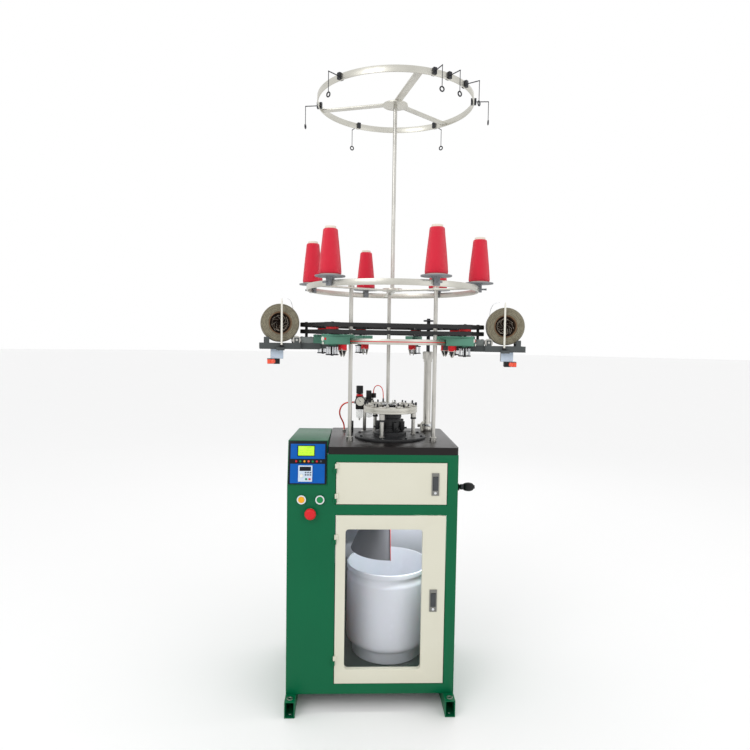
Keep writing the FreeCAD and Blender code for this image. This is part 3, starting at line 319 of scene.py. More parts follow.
def angleOf(place):
    return math.degrees(math.atan2(place[0], -place[1]))


# finishes: sums on shader values are written as plain expressions

def tone(red, green, blue):
    parts = []
    for part in (red, green, blue):
        part /= 255
        parts.append(part / 12.92 if part <= 0.04045 else ((part + 0.055) / 1.055) ** 2.4)
    return (*parts, 1)


def darker(colour, share):
    return tuple(part * share for part in colour[:3]) + (1,)


class Value:
    def __init__(self, finish, socket):
        self.finish = finish
        self.socket = socket

    def sum(self, operation, *parts):
        node = self.finish.node("ShaderNodeMath", {"operation": operation}, dict(enumerate(parts)))
        return Value(self.finish, node.outputs[0])

    def __add__(self, other):
        return self.sum("ADD", self, other)

    def __radd__(self, other):
        return self.sum("ADD", other, self)

    def __sub__(self, other):
        return self.sum("SUBTRACT", self, other)

    def __rsub__(self, other):
        return self.sum("SUBTRACT", other, self)

    def __mul__(self, other):
        return self.sum("MULTIPLY", self, other)

    def __rmul__(self, other):
        return self.sum("MULTIPLY", other, self)

    def over(self, limit):
        return self.sum("GREATER_THAN", self, limit)

    def under(self, limit):
        return self.sum("LESS_THAN", self, limit)

    def sine(self):
        return self.sum("SINE", self)


class Finish:
    def __init__(self, name, **sockets):
        self.material = bpy.data.materials.new(name)
        self.material.use_nodes = True
        self.tree = self.material.node_tree
        self.tree.nodes.clear()
        self.shader = self.node("ShaderNodeBsdfPrincipled")
        self.node("ShaderNodeOutputMaterial", {}, {"Surface": self.shader.outputs[0]})
        self.place = self.node("ShaderNodeTexCoord").outputs["Object"]
        for socket, value in sockets.items():
            self.feed(socket, value)

    def feed(self, socket, value):
        words = re.sub("(?<=[a-z])(?=[A-Z])|(?<=[A-Z])(?=[A-Z][a-z])", " ", socket)
        self.link(self.shader.inputs[words], value)

    def link(self, socket, value):
        if isinstance(value, Value):
            value = value.socket
        if isinstance(value, bpy.types.NodeSocket):
            self.tree.links.new(value, socket)
        else:
            socket.default_value = value

    def node(self, kind, settings=None, sockets=None):
        node = self.tree.nodes.new(kind)
        for setting, value in (settings or {}).items():
            if setting == "stops":
                for stop, (position, shade) in zip(node.color_ramp.elements, value):
                    stop.position = position
                    stop.color = (shade, shade, shade, 1)
            else:
                setattr(node, setting, value)
        for socket, value in (sockets or {}).items():
            self.link(node.inputs[socket], value)
        return node

    def stretched(self, scale):
        return self.node("ShaderNodeMapping", {}, {"Vector": self.place, "Scale": scale}).outputs[0]

    def noise(self, scale, detail=3, stretch=None):
        place = self.stretched(stretch) if stretch else self.place
        sockets = {"Vector": place, "Scale": scale, "Detail": detail}
        return Value(self, self.node("ShaderNodeTexNoise", {}, sockets).outputs[0])

    def spots(self, scale):
        node = self.node("ShaderNodeTexVoronoi", {}, {"Vector": self.place, "Scale": scale})
        return Value(self, node.outputs["Distance"])

    def part(self, letter):
        node = self.node("ShaderNodeSeparateXYZ", {}, {0: self.place})
        return Value(self, node.outputs[letter])

    def ramp(self, value, low, high):
        stops = [(low, 0), (high, 1)]
        node = self.node("ShaderNodeValToRGB", {"stops": stops}, {0: value})
        return Value(self, node.outputs[0])

    def mix(self, amount, first, second):
        node = self.node("ShaderNodeMix", {"data_type": "RGBA"}, {0: amount, 6: first, 7: second})
        return node.outputs[2]

    def bump(self, height, depth):
        node = self.node("ShaderNodeBump", {}, {"Height": height, "Distance": depth})
        self.feed("Normal", node.outputs[0])
        return self


def enamel(name, colour, worn, roughness, peel=0.00012, gloss=0.18):
    # Sprayed paint: orange peel, a slow drift of shade, rubbed and dusty patches.
    finish = Finish(name, SpecularIORLevel=gloss)
    drift = finish.ramp(finish.noise(3.5, 4), 0.35, 0.7)
    rubbed = finish.ramp(finish.noise(42, 5, (1, 1, 0.35)), 0.62, 0.78)
    shade = finish.mix(drift * 0.35, colour, worn)
    finish.feed("BaseColor", finish.mix(rubbed * 0.22, shade, worn))
    finish.feed("Roughness", roughness + drift * 0.07 + rubbed * 0.15)
    return finish.bump(finish.noise(260, 2), peel).material


def paintedLightLiner(name, low, high, start, end):
    # Compartment lining with painted light: painted shade makes it dark near the floor and painted lamplight
    # makes it pale under the lamp.
    finish = Finish(name, Roughness=0.5)
    # painted light by height: the low colour is painted shade near the floor, the high colour is painted
    # lamplight near the top
    rise = finish.ramp(finish.part("Z"), start, end)
    finish.feed("BaseColor", finish.mix(rise + finish.noise(12, 3) * 0.1 - 0.05, low, high))
    return finish.bump(finish.noise(260, 2), 0.0001).material


def plastic(name, colour, roughness=0.4, grain=900, depth=0.00006, scuff=0.06, **sockets):
    # Moulded plastic: fine spark-eroded grain and faint scuffs.
    finish = Finish(name, **sockets)
    lighter = tuple(min(1, part * 1.35 + 0.015) for part in colour[:3]) + (1,)
    scuffs = finish.ramp(finish.noise(55, 5, (1, 0.4, 1)), 0.58, 0.75)
    finish.feed("BaseColor", finish.mix(scuffs * (scuff * 4), colour, lighter))
    finish.feed("Roughness", roughness + scuffs * scuff + finish.noise(9, 2) * 0.05)
    return finish.bump(finish.noise(grain, 1), depth).material


def metal(name, colour, roughness, stretch=(1, 1, 0.04), scale=420, stain=0.25):
    # Brushed or turned metal: streaks along one direction, handling marks, dull patches.
    finish = Finish(name, Metallic=1.0)
    streaks = finish.noise(scale, 3, stretch)
    marks = finish.ramp(finish.noise(18, 4), 0.45, 0.75)
    finish.feed("BaseColor", finish.mix(marks * stain + streaks * 0.15, colour, darker(colour, 0.62)))
    finish.feed("Roughness", roughness - 0.08 + streaks * 0.16 + marks * 0.12)
    return finish.bump(streaks, 0.00003).material


def casting(name, colour, roughness=0.45):
    # Black-finished castings and steel: slight pitting, oily bright patches.
    finish = Finish(name)
    oil = finish.ramp(finish.noise(22, 4), 0.48, 0.7)
    pits = finish.ramp(finish.spots(700), 0.0, 0.5)
    finish.feed("BaseColor", finish.mix(oil * 0.5, colour, darker(colour, 0.5)))
    finish.feed("Roughness", roughness - oil * 0.18 + pits * 0.06)
    return finish.bump(pits, 0.00008).material


def woundYarn(name, colour, grooveShade, centre, axis, spacing=0.0011, shine=0.25):
    # Thread laid round an axis: fine ridges along it on the side and in rings on the ends, with painted shade
    # in the grooves between them.
    finish = Finish(name, SheenWeight=shine, SheenRoughness=0.5)
    offset = finish.node("ShaderNodeVectorMath", {"operation": "SUBTRACT"}, {0: finish.place, 1: centre})
    along = finish.node("ShaderNodeVectorMath", {"operation": "DOT_PRODUCT"}, {0: offset.outputs[0], 1: axis})
    reach = finish.node("ShaderNodeVectorMath", {"operation": "LENGTH"}, {0: offset.outputs[0]})
    lay = Value(finish, along.outputs["Value"]) + Value(finish, reach.outputs["Value"]) * 0.6
    wander = finish.noise(70, 3) * 0.004
    ridges = ((lay + wander) * (2 * math.pi / spacing)).sine() * 0.5 + 0.5
    crossing = ((lay * 0.31 - wander * 2) * (2 * math.pi / spacing)).sine() * 0.5 + 0.5
    fibres = finish.noise(1400, 2)
    # painted shade in the grooves between threads, mixed with real fibre tone variation
    grooveShadeAndFibres = finish.ramp(ridges * 0.45 + crossing * 0.25 + fibres * 0.3, 0.1, 0.75)
    finish.feed("BaseColor", finish.mix(grooveShadeAndFibres, grooveShade, colour))
    finish.feed("Roughness", 0.78 + fibres * 0.15)
    return finish.bump(ridges * 0.6 + crossing * 0.25 + fibres * 0.35, 0.0005).material


def glassy(name, colour, alpha, gloss=0.5):
    # Clear plastic: faint upright smears, a little duller and less clear than the rest.
    finish = Finish(name, SpecularIORLevel=gloss)
    smears = finish.ramp(finish.noise(14, 5, (1, 1, 0.3)), 0.5, 0.8)
    finish.feed("BaseColor", colour)
    finish.feed("Roughness", 0.06 + smears * 0.12)
    finish.feed("Alpha", alpha + smears * 0.03)
    return finish.material


def glowing(name, colour, strength):
    # A lit tube, a little dimmer in patches.
    finish = Finish(name, BaseColor=colour, EmissionStrength=strength, Roughness=0.4)
    ends = finish.ramp(finish.noise(30, 2), 0.3, 0.8)
    finish.feed("EmissionColor", finish.mix(ends * 0.15, colour, darker(colour, 0.7)))
    return finish.material


def lcdGlass(name, lit, dark, low, high):
    # A lit dot display: pixel grid and four rows of plain dark marks.
    finish = Finish(name, Roughness=0.3, EmissionStrength=0.3)
    across = (finish.part("X") - low[0]) * (1 / (high[0] - low[0]))
    up = (finish.part("Z") - low[2]) * (1 / (high[2] - low[2]))
    rows = (up * (2 * math.pi * 4)).sine().over(0.1)
    marks = (across * (2 * math.pi * 16)).sine().over(-0.2)
    inside = across.over(0.1) * across.under(0.86) * up.over(0.08) * up.under(0.94)
    broken = finish.noise(150, 0, (1, 1, 2)).over(0.5)
    mark = rows * marks * inside * broken
    shade = finish.mix(mark * 0.55, lit, dark)
    finish.feed("BaseColor", shade)
    finish.feed("EmissionColor", shade)
    return finish.material


def beltRubber(name):
    # Belt rubber: fine grain, pale lint in patches.
    finish = Finish(name)
    dust = finish.ramp(finish.noise(16, 4), 0.5, 0.8)
    finish.feed("BaseColor", finish.mix(dust * 0.3, tone(16, 16, 17), tone(62, 60, 58)))
    finish.feed("Roughness", 0.55 + dust * 0.2)
    return finish.bump(finish.noise(500, 3), 0.0001).material


def paper(name, colour):
    # Card and paper tube: short upright fibres.
    finish = Finish(name, Roughness=0.85)
    fibres = finish.noise(600, 4, (1, 1, 0.2))
    finish.feed("BaseColor", finish.mix(fibres * 0.3, colour, darker(colour, 0.75)))
    return finish.bump(fibres, 0.0001).material


greenEnamel = enamel("greenEnamel", tone(0, 96, 60), tone(4, 84, 54), 0.34)
creamEnamel = enamel("creamEnamel", tone(212, 210, 194), tone(202, 198, 178), 0.4)
blackEnamel = enamel("blackEnamel", tone(24, 20, 20), tone(36, 31, 30), 0.28, 0.00008, 0.22)
greyEnamel = enamel("greyEnamel", tone(132, 134, 138), tone(112, 114, 118), 0.45)
chuteGrey = enamel("chuteGrey", tone(88, 89, 94), tone(76, 77, 82), 0.5)
# painted shade (dark green) low down and painted lamplight (pale grey) up under the lamp
paintedLightLinerEnamel = paintedLightLiner("paintedLightLinerEnamel", tone(8, 42, 30), tone(206, 208, 220), 0.22, 0.52)
lockSteel = metal("lockSteel", tone(134, 134, 130), 0.42, (1, 1, 0.1), 300)
lockDark = metal("lockDark", tone(84, 86, 88), 0.4, (1, 1, 0.1), 300)
trayGrey = enamel("trayGrey", tone(78, 82, 82), tone(62, 66, 66), 0.42)
gearboxGrey = enamel("gearboxGrey", tone(128, 134, 132), tone(108, 114, 112), 0.4)
feederGreen = enamel("feederGreen", tone(88, 138, 118), tone(66, 112, 94), 0.38)
panelBlack = plastic("panelBlack", tone(12, 15, 22), 0.35, SpecularIORLevel=0.2)
panelBlue = plastic("panelBlue", tone(0, 86, 170), 0.35, SpecularIORLevel=0.15)
keypadGrey = plastic("keypadGrey", tone(196, 210, 226), 0.4)
blackPlastic = plastic("blackPlastic", tone(20, 20, 22), 0.38, SpecularIORLevel=0.3)
greyPlastic = plastic("greyPlastic", tone(120, 122, 124), 0.5)
whitePlastic = plastic("whitePlastic", tone(206, 209, 218), 0.45, 300, 0.0001, 0.04, SubsurfaceWeight=0.06)
ivoryPlastic = plastic("ivoryPlastic", tone(226, 224, 214), 0.45)
greenPlastic = plastic("greenPlastic", tone(0, 128, 66), 0.28, SpecularIORLevel=0.3)
yellowPlastic = plastic("yellowPlastic", tone(232, 164, 20), 0.28, SpecularIORLevel=0.3)
redPlastic = plastic("redPlastic", tone(206, 26, 34), 0.3, SpecularIORLevel=0.3)
orangePlastic = plastic("orangePlastic", tone(236, 74, 34), 0.22, CoatWeight=0.6)
darkKeys = plastic("darkKeys", tone(60, 66, 78), 0.45)
hoseRed = plastic("hoseRed", tone(226, 62, 40), 0.3, CoatWeight=0.4)
chrome = metal("chrome", tone(225, 227, 230), 0.16, (1, 1, 1), 60, 0.1)
machinedSteel = metal("machinedSteel", tone(196, 194, 188), 0.3)
ringAlloy = metal("ringAlloy", tone(205, 203, 194), 0.34, (1, 1, 12), 60)
darkSteel = metal("darkSteel", tone(62, 63, 66), 0.36)
castBlack = casting("castBlack", tone(26, 27, 29))
rubber = beltRubber("beltRubber")
paperWhite = paper("paperWhite", tone(226, 220, 206))
darkPaper = paper("darkPaper", tone(58, 44, 36))
lampGlow = glowing("lampGlow", (1, 0.98, 0.95, 1), 6)
clearPane = glassy("clearPane", (0.5, 0.53, 0.53, 1), 0.03, 0.3)
clearBowl = glassy("clearBowl", (0.85, 0.87, 0.84, 1), 0.35)
print("finishes made")


# camera, light and floor

cameraSet = {"place": (-0.141, -2.190, 1.254), "pitch": -0.0578, "yaw": 0.0378, "roll": 0.0152,
             "lens": 28.8, "sensor": 36, "reach": 200}


def addCamera():
    pitch, yaw, roll = cameraSet["pitch"], cameraSet["yaw"], cameraSet["roll"]
    across = Vector((math.cos(yaw), -math.sin(yaw), 0))
    ahead = Vector((math.cos(pitch) * math.sin(yaw), math.cos(pitch) * math.cos(yaw), math.sin(pitch)))
    up = across.cross(ahead)
    right = math.cos(roll) * across + math.sin(roll) * up
    above = math.cos(roll) * up - math.sin(roll) * across
    nothingSelected()
    bpy.ops.object.camera_add()
    camera = bpy.context.active_object
    turn = Matrix((right, above, -ahead)).transposed().to_4x4()
    camera.matrix_world = Matrix.Translation(cameraSet["place"]) @ turn
    camera.data.sensor_width = cameraSet["sensor"]
    camera.data.lens = cameraSet["lens"]
    camera.data.clip_end = cameraSet["reach"]
    bpy.context.scene.camera = camera


studio = {"world": 1.0, "aim": (0, 0, 1.0), "floor": 60}
studioLights = {"key": ((-1.9, -2.8, 2.9), 1.8, 26),  # place, size and power
                "fill": ((2.6, -2.0, 1.7), 2.2, 8),
                "back": ((0.8, 3.0, 3.0), 2.0, 10)}


def addLight(name, place, size, power):
    nothingSelected()
    bpy.ops.object.light_add(type="AREA", location=place)
    light = bpy.context.active_object
    light.name = name
    light.data.size = size
    light.data.energy = power
    light.rotation_euler = (Vector(studio["aim"]) - Vector(place)).to_track_quat("-Z", "Y").to_euler()


def addStudio():
    world = bpy.data.worlds.new("studio")
    world.use_nodes = True
    background = world.node_tree.nodes["Background"]
    background.inputs["Color"].default_value = (1, 1, 1, 1)
    background.inputs["Strength"].default_value = studio["world"]
    bpy.context.scene.world = world
    bpy.context.scene.view_settings.view_transform = "Standard"
    for name, (place, size, power) in studioLights.items():
        addLight(name, place, size, power)
    nothingSelected()
    bpy.ops.mesh.primitive_circle_add(vertices=64, radius=studio["floor"], fill_type="NGON")
    floor = named("floor")
    paint = Finish("floorPaint", Roughness=0.8)
    paint.feed("BaseColor", paint.mix(paint.noise(2, 3) * 0.3, (0.92, 0.92, 0.92, 1), (0.90, 0.90, 0.90, 1)))
    floor.data.materials.append(paint.material)


addCamera()
addStudio()
print("camera and studio")


# cabinet, doors and table

cabinetSet = {"front": -0.22, "leftScrewsBelow": 0.77, "liningLeft": -0.2145, "wall": 0.004, "washer": 0.011}
cabinetEdges = {"front_frame": 0.0006, "cabinet_panels": 0, "foot_rails": 0.0012, "console_housing": 0.0012}
screwSet = {"radius": 0.0042, "height": 0.0018, "inset": 0.014, "back": 7, "side": 5, "sideInset": 0.02}


def screwHead(name, at, axis, radius=screwSet["radius"], height=screwSet["height"]):
    profile = [(0, 0), (radius, 0), (radius, height * 0.35), (radius * 0.8, height * 0.8),
               (radius * 0.45, height), (radius * 0.38, height * 0.5), (0, height * 0.5)]
    return turned(name, profile, at, axis, 14)


def paintNode(node, finish):
    nodes[node].data.materials.clear()
    nodes[node].data.materials.append(finish)


def cabinet():
    for node, edge in cabinetEdges.items():
        kept(eased(node, edge), "machine", greenEnamel, "green_enamel", node)
    # the inner panels carry the painted shade and painted lamplight gradient
    paintNode("inner_panels", paintedLightLinerEnamel)
    floor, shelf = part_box("fabric_drum")[0].z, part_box("compartment_lamp")[1].z
    low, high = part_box("cabinet_panels")
    wall = cabinetSet["wall"]
    # the back lining carries the painted shade and painted lamplight gradient
    lining = block("compartmentLining", (cabinetSet["liningLeft"], high.y - wall - 0.0010, floor + 0.001),
                   (high.x - wall, high.y - wall, shelf), 0.0003, 1)
    kept(lining, "machine", paintedLightLinerEnamel, "green_enamel")
    kept(eased("table_top", 0.0018, 3), "machine", blackEnamel, "black_enamel", "table_top")
    inset, sideInset = screwSet["inset"], screwSet["sideInset"]
    heads = []
    for step in range(screwSet["back"]):
        height = low.z + inset + step * (high.z - low.z - 2 * inset) / (screwSet["back"] - 1)
        if height < cabinetSet["leftScrewsBelow"]:
            heads.append(screwHead("head", (low.x + inset, high.y, height), (0, 1, 0)))
        heads.append(screwHead("head", (high.x - inset, high.y, height), (0, 1, 0)))
    for step in range(screwSet["side"]):
        depth = low.y + sideInset + step * (high.y - low.y - 2 * sideInset) / (screwSet["side"] - 1)
        heads.append(screwHead("head", (low.x, depth, low.z + inset), (-1, 0, 0)))
        heads.append(screwHead("head", (high.x, depth, low.z + inset), (1, 0, 0)))
        heads.append(screwHead("head", (high.x, depth, high.z - inset), (1, 0, 0)))
    kept(joined("panelScrews", heads), "machine", chrome, "chrome")
    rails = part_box("foot_rails")
    washers = []
    for side in (rails[0].x + 0.017, rails[1].x - 0.017):
        for end in (rails[0].y + 0.02, rails[1].y - 0.02):
            washers.append(turned("washer", hollowProfile(cabinetSet["washer"], 0.0052, 0, 0.0018, 0.0004),
                                  (side, end, rails[1].z), steps=20))
    kept(joined("floorWashers", washers), "machine", machinedSteel, "machined_steel")


doorSet = {"lockX": 0.141, "plateWide": 0.0125, "plateTall": 0.038, "plateThick": 0.0029, "keyUp": 0.009}


def doors():
    face = cabinetSet["front"]
    middle, wide, tall = doorSet["lockX"], doorSet["plateWide"], doorSet["plateTall"]
    for door in ("upper", "lower"):
        node = door + "_door"
        kept(eased(node, 0.0014, 3), node, creamEnamel, "cream_enamel", node)
        low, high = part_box(door + "_lock")
        centre = high.z + 0.012 - tall
        plate = window(door + "LockPlate", (middle - wide, face - doorSet["plateThick"], centre - tall),
                       (middle + wide, face - 0.0001, centre + tall),
                       (low.x - 0.0007, low.z - 0.001), (high.x + 0.0007, high.z + 0.0012), 0.0007)
        kept(plate, node, lockSteel, "chrome")
        well = block(door + "LockWell", (low.x - 0.001, face - 0.0027, low.z - 0.001),
                     (high.x + 0.001, face - 0.0024, high.z + 0.001), 0.0001, 1)
        kept(well, node, panelBlack, "black_plastic")
        barrel = turned(door + "KeyBarrel", [(0, 0), (0.0042, 0), (0.0042, 0.0014), (0.0036, 0.0018),
                                             (0.0012, 0.0018), (0.0012, 0.0008), (0, 0.0008)],
                        (middle, face - 0.0025, centre - tall + doorSet["keyUp"]), (0, -1, 0), 20)
        kept(barrel, node, chrome, "chrome")
        lock = door + "_lock"
        kept(eased(lock, 0.0004), lock, lockDark, "chrome", lock)
    paintNode("door_window", clearPane)


cabinet()
doors()
print("cabinet and doors")


# console: film, display, keys and keypad, drawn upright and laid on the slope

consoleSet = {"lean": 0.030, "plate": 0.003, "margin": 0.003, "filmMargin": 0.006, "film": 0.0007,
              "sunk": 0.0002, "lcd": ((0.24, 0.655), (0.67, 0.875)), "upperFilm": (0.585, 0.92),
              "lowerFilm": (0.045, 0.475), "keyRow": 0.53, "firstKey": 0.2, "keyStep": 0.108,
              "keyRadius": 0.0036, "pad": ((0.26, 0.08), (0.63, 0.44)), "padThick": 0.0052,
              "padKey": (0.0055, 0.0042)}
keyTones = (redPlastic, greenPlastic, yellowPlastic, orangePlastic, greenPlastic, redPlastic, darkKeys)


def onSlope(piece):
    low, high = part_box("console_housing")
    lean = math.atan2(consoleSet["lean"], high.z - low.z)
    piece.data.transform(Matrix.Translation((0, low.y, low.z)) @ Matrix.Rotation(-lean, 4, "X"))
    return piece


def console():
    low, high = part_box("console_housing")
    slope = math.hypot(consoleSet["lean"], high.z - low.z)
    left, right = low.x + consoleSet["margin"], high.x - consoleSet["margin"]
    wide = right - left

    def spot(across, up):
        return left + across * wide, up * slope

    front, film, sunk = -consoleSet["plate"], consoleSet["film"], consoleSet["sunk"]
    (lcdLeft, lcdFoot), (lcdRight, lcdTop) = spot(*consoleSet["lcd"][0]), spot(*consoleSet["lcd"][1])
    hole = (lcdLeft, lcdFoot), (lcdRight, lcdTop)
    plate = window("consolePlate", (left, front, 0.003), (right, 0, slope - 0.002), *hole, 0.0008)
    kept(onSlope(plate), "machine", panelBlack, "panel_film", "console_panel")
    filmLeft, filmRight = left + consoleSet["filmMargin"], right - consoleSet["filmMargin"]
    foot, top = (spot(0, up)[1] for up in consoleSet["upperFilm"])
    upper = window("filmUpper", (filmLeft, front - film, foot), (filmRight, front + sunk, top),
                   (lcdLeft - 0.001, lcdFoot - 0.001), (lcdRight + 0.001, lcdTop + 0.001), 0.0002)
    foot, top = (spot(0, up)[1] for up in consoleSet["lowerFilm"])
    lower = block("filmLower", (filmLeft, front - film, foot), (filmRight, front + sunk, top), 0.0002, 1)
    kept(onSlope(joined("consoleFilm", [upper, lower])), "machine", panelBlue, "panel_film")
    rim = window("lcdRim", (lcdLeft - 0.002, front - 0.0012, lcdFoot - 0.002),
                 (lcdRight + 0.002, front - 0.0004, lcdTop + 0.002), *hole, 0.0003)
    kept(onSlope(rim), "machine", panelBlack, "panel_film")
    glass = block("lcdGlass", (lcdLeft + 0.0004, -0.002, lcdFoot + 0.0004),
                  (lcdRight - 0.0004, -0.0002, lcdTop - 0.0004), 0.0003)
    lit = lcdGlass("lcdLit", tone(178, 232, 40), tone(60, 120, 20), *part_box("lcd_display"))
    kept(onSlope(glass), "machine", lit, "display", "lcd_display")
    radius = consoleSet["keyRadius"]
    domeProfile = [(0, 0), (radius, 0), (radius, 0.001), (radius * 0.8, 0.0019), (radius * 0.4, 0.0024),
                   (0, 0.0025)]
    groups = {}
    for number, finish in enumerate(keyTones):
        across, up = spot(consoleSet["firstKey"] + consoleSet["keyStep"] * number, consoleSet["keyRow"])
        dome = turned("key", domeProfile, (across, front, up), (0, -1, 0), 20)
        groups.setdefault(finish, []).append(dome)
    for number, (finish, domes) in enumerate(groups.items(), start=1):
        kept(onSlope(joined("panelKeys_%d" % number, domes)), "machine", finish, "panel_film")
    keypad(spot, front)


def keypad(spot, front):
    (left, foot), (right, top) = spot(*consoleSet["pad"][0]), spot(*consoleSet["pad"][1])
    face = front - consoleSet["padThick"]
    case = block("keypadCase", (left, face, foot), (right, front - 0.0006, top), 0.0012, 3)
    kept(onSlope(case), "machine", keypadGrey, "panel_film")

    def onPad(across, up):
        return left + across * (right - left), foot + up * (top - foot)

    def padKey(name, place, size, height, edge):
        (x, z), (width, tall) = place, size
        return block(name, (x, face - height, z), (x + width, face + 0.0004, z + tall), edge)

    low, high = onPad(0.1, 0.66), onPad(0.9, 0.92)
    screen = block("keypadScreen", (low[0], face - 0.0004, low[1]), (high[0], face + 0.0004, high[1]), 0.0002)
    kept(onSlope(screen), "machine", panelBlack, "panel_film")
    across, up = onPad(0.24, 0.36)
    knob = ribbed("keypadKnob", (across, face, up), 0.0052, 0.004, 14, 0.0004, (0, -1, 0))
    kept(onSlope(knob), "machine", ivoryPlastic, "panel_film")
    size = consoleSet["padKey"]
    keys = [padKey("key", onPad(0.47 + 0.17 * column, 0.38 + 0.14 * row), size, 0.0008, 0.0005)
            for column in range(3) for row in range(2)]
    kept(onSlope(joined("keypadKeys", keys)), "machine", darkKeys, "panel_film")
    for name, across, finish in (("keypadGo", 0.5, greenPlastic), ("keypadHalt", 0.74, redPlastic)):
        key = padKey(name, onPad(across, 0.1), (0.0072, 0.0062), 0.0009, 0.0006)
        kept(onSlope(key), "machine", finish, "panel_film")


buttonSet = {"bezel": 0.015, "cap": 0.0105, "stop": 0.019, "shank": 0.014, "shankRadius": 0.006,
             "play": 0.0004}


def frontOf(node):
    low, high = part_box(node)
    return (low.x + high.x) / 2, cabinetSet["front"], (low.z + high.z) / 2


def buttons():
    rings = []
    cap, shank, shankRadius = buttonSet["cap"], buttonSet["shank"], buttonSet["shankRadius"]
    bore, outer = cap + buttonSet["play"], buttonSet["bezel"]
    for name, finish, slot in (("jog", yellowPlastic, "yellow_plastic"),
                               ("start", greenPlastic, "green_plastic")):
        at = frontOf(name + "_button")
        dome = turned(name + "Cap", [(0, -shank), (shankRadius, -shank), (shankRadius, 0.005), (cap, 0.005),
                                     (cap, 0.0095), (cap * 0.85, 0.0108), (cap * 0.5, 0.0109), (0, 0.0104)],
                      at, (0, -1, 0), 32)
        kept(dome, name + "_button", finish, slot, name + "_button")
        rings.append(turned("bezel", closed([(bore, 0), (outer, 0), (outer, 0.0045), (outer - 0.0014, 0.0072),
                                             (cap + 0.0014, 0.008), (bore, 0.0074)]), at, (0, -1, 0), 36))
    at = frontOf("stop_button")
    head = buttonSet["stop"]
    mushroom = turned("stopCap", [(0, -shank), (0.008, -shank), (0.008, 0.0112), (head - 0.004, 0.0112),
                                  (head, 0.014), (head, 0.0165), (head - 0.003, 0.0215),
                                  (head * 0.6, 0.0236), (0, 0.024)], at, (0, -1, 0), 40)
    kept(mushroom, "stop_button", redPlastic, "red_plastic", "stop_button")
    rings.append(turned("bezel", closed([(0.0084, 0), (0.0152, 0), (0.0152, 0.003), (0.0135, 0.0056),
                                         (0.0094, 0.006), (0.0084, 0.0054)]), at, (0, -1, 0), 36))
    kept(joined("buttonRings", rings), "machine", ivoryPlastic, "chrome")
    paintNode("button_bezels", chrome)


console()
buttons()
print("console and buttons")


# fabric compartment

drumSet = {"wall": 0.005, "steps": 96, "footInset": 0.022}
chuteSet = {"trimFront": -0.1422, "trimBack": -0.1366, "trimFoot": -0.051, "trimTop": -0.1390, "end": 0.004}
lampSet = {"tube": 0.0085, "up": 0.009, "half": 0.015, "cap": 0.008, "glow": (0.11, 0.03), "power": 1.7,
           "tilt": 1.0}


def compartment():
    low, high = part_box("fabric_drum")
    radius = high.x
    foot = radius - drumSet["footInset"]
    bore = radius - drumSet["wall"]
    outside = lifted([(0, 0.002), (foot - 0.012, 0.002), (foot - 0.008, 0), (foot - 0.003, 0), (foot, 0.003),
                      (foot, 0.036), (foot + 0.002, 0.041), (foot + 0.009, 0.045), (bore - 0.001, 0.052),
                      (radius - 0.0012, 0.060), (radius - 0.0004, 0.070)], low.z)
    rim = lifted([(radius - 0.0008, -0.052), (radius - 0.0008, -0.044), (radius - 0.003, -0.040),
                  (radius - 0.003, -0.022), (radius - 0.0004, -0.018), (radius, -0.014), (radius, -0.002),
                  (radius - 0.0015, 0), (bore + 0.001, 0), (bore, -0.001)], high.z)
    inside = lifted([(bore, 0.072), (bore - 0.003, 0.064), (bore - 0.008, 0.060), (0, 0.060)], low.z)
    drum = turned("drumShell", outside + rim + inside, steps=drumSet["steps"])
    kept(drum, "machine", whitePlastic, "white_plastic", "fabric_drum")
    kept(eased("fabric_chute", 0), "machine", chuteGrey, "grey_enamel", "fabric_chute")
    chuteLow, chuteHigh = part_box("fabric_chute")
    end = chuteHigh.z - chuteSet["end"]
    trim = block("chuteTrim", (0.0004, chuteSet["trimFront"], chuteLow.z + 0.0005),
                 (0.0018, chuteSet["trimBack"], end), 0.0006)
    # The trim is leant back to follow the chute's slope.
    lean = (chuteSet["trimFoot"] - chuteSet["trimTop"]) / (end - chuteLow.z)
    for vertex in trim.data.vertices:
        vertex.co.y += (vertex.co.z - chuteLow.z) * lean
    kept(trim, "machine", redPlastic, "red_plastic")
    lamp()


def lamp():
    low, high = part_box("compartment_lamp")
    middle, half, tubeAt = (low.y + high.y) / 2, lampSet["half"], low.z + lampSet["up"]
    tube = bar("lampTube", (low.x + 0.005, middle, tubeAt), (high.x - 0.005, middle, tubeAt),
               lampSet["tube"], 0.002)
    kept(tube, "machine", lampGlow, "lamp_tube", "compartment_lamp")
    base = block("lampBase", (low.x, middle - half, high.z - lampSet["cap"]),
                 (high.x, middle + half, high.z), 0.002)
    ends = [block("end", (side - 0.002, middle - 0.011, tubeAt - 0.009),
                  (side + 0.002, middle + 0.011, high.z - 0.007), 0.001)
            for side in (low.x + 0.003, high.x - 0.003)]
    kept(joined("lampFitting", [base, *ends]), "machine", ivoryPlastic, "lamp_tube")
    nothingSelected()
    bpy.ops.object.light_add(type="AREA", location=((low.x + high.x) / 2, middle, tubeAt - 0.02))
    glow = bpy.context.active_object
    glow.name = "compartmentGlow"
    glow.data.shape = "RECTANGLE"
    glow.data.size, glow.data.size_y = lampSet["glow"]
    glow.data.energy = lampSet["power"]
    glow.rotation_euler = (lampSet["tilt"], 0, 0)


compartment()
print("compartment")


# drive behind the upper door, and the crank

motorSet = {"finRadius": 0.0615, "finBore": 0.057, "fins": 9, "firstFin": 0.022, "fin": 0.003,
            "finStep": 0.009}
plainNodes = {"motor_pulley": machinedSteel, "drive_belts": rubber, "cylinder_shaft": machinedSteel,
              "shaft_bearings": castBlack, "electrical_unit": greyPlastic}


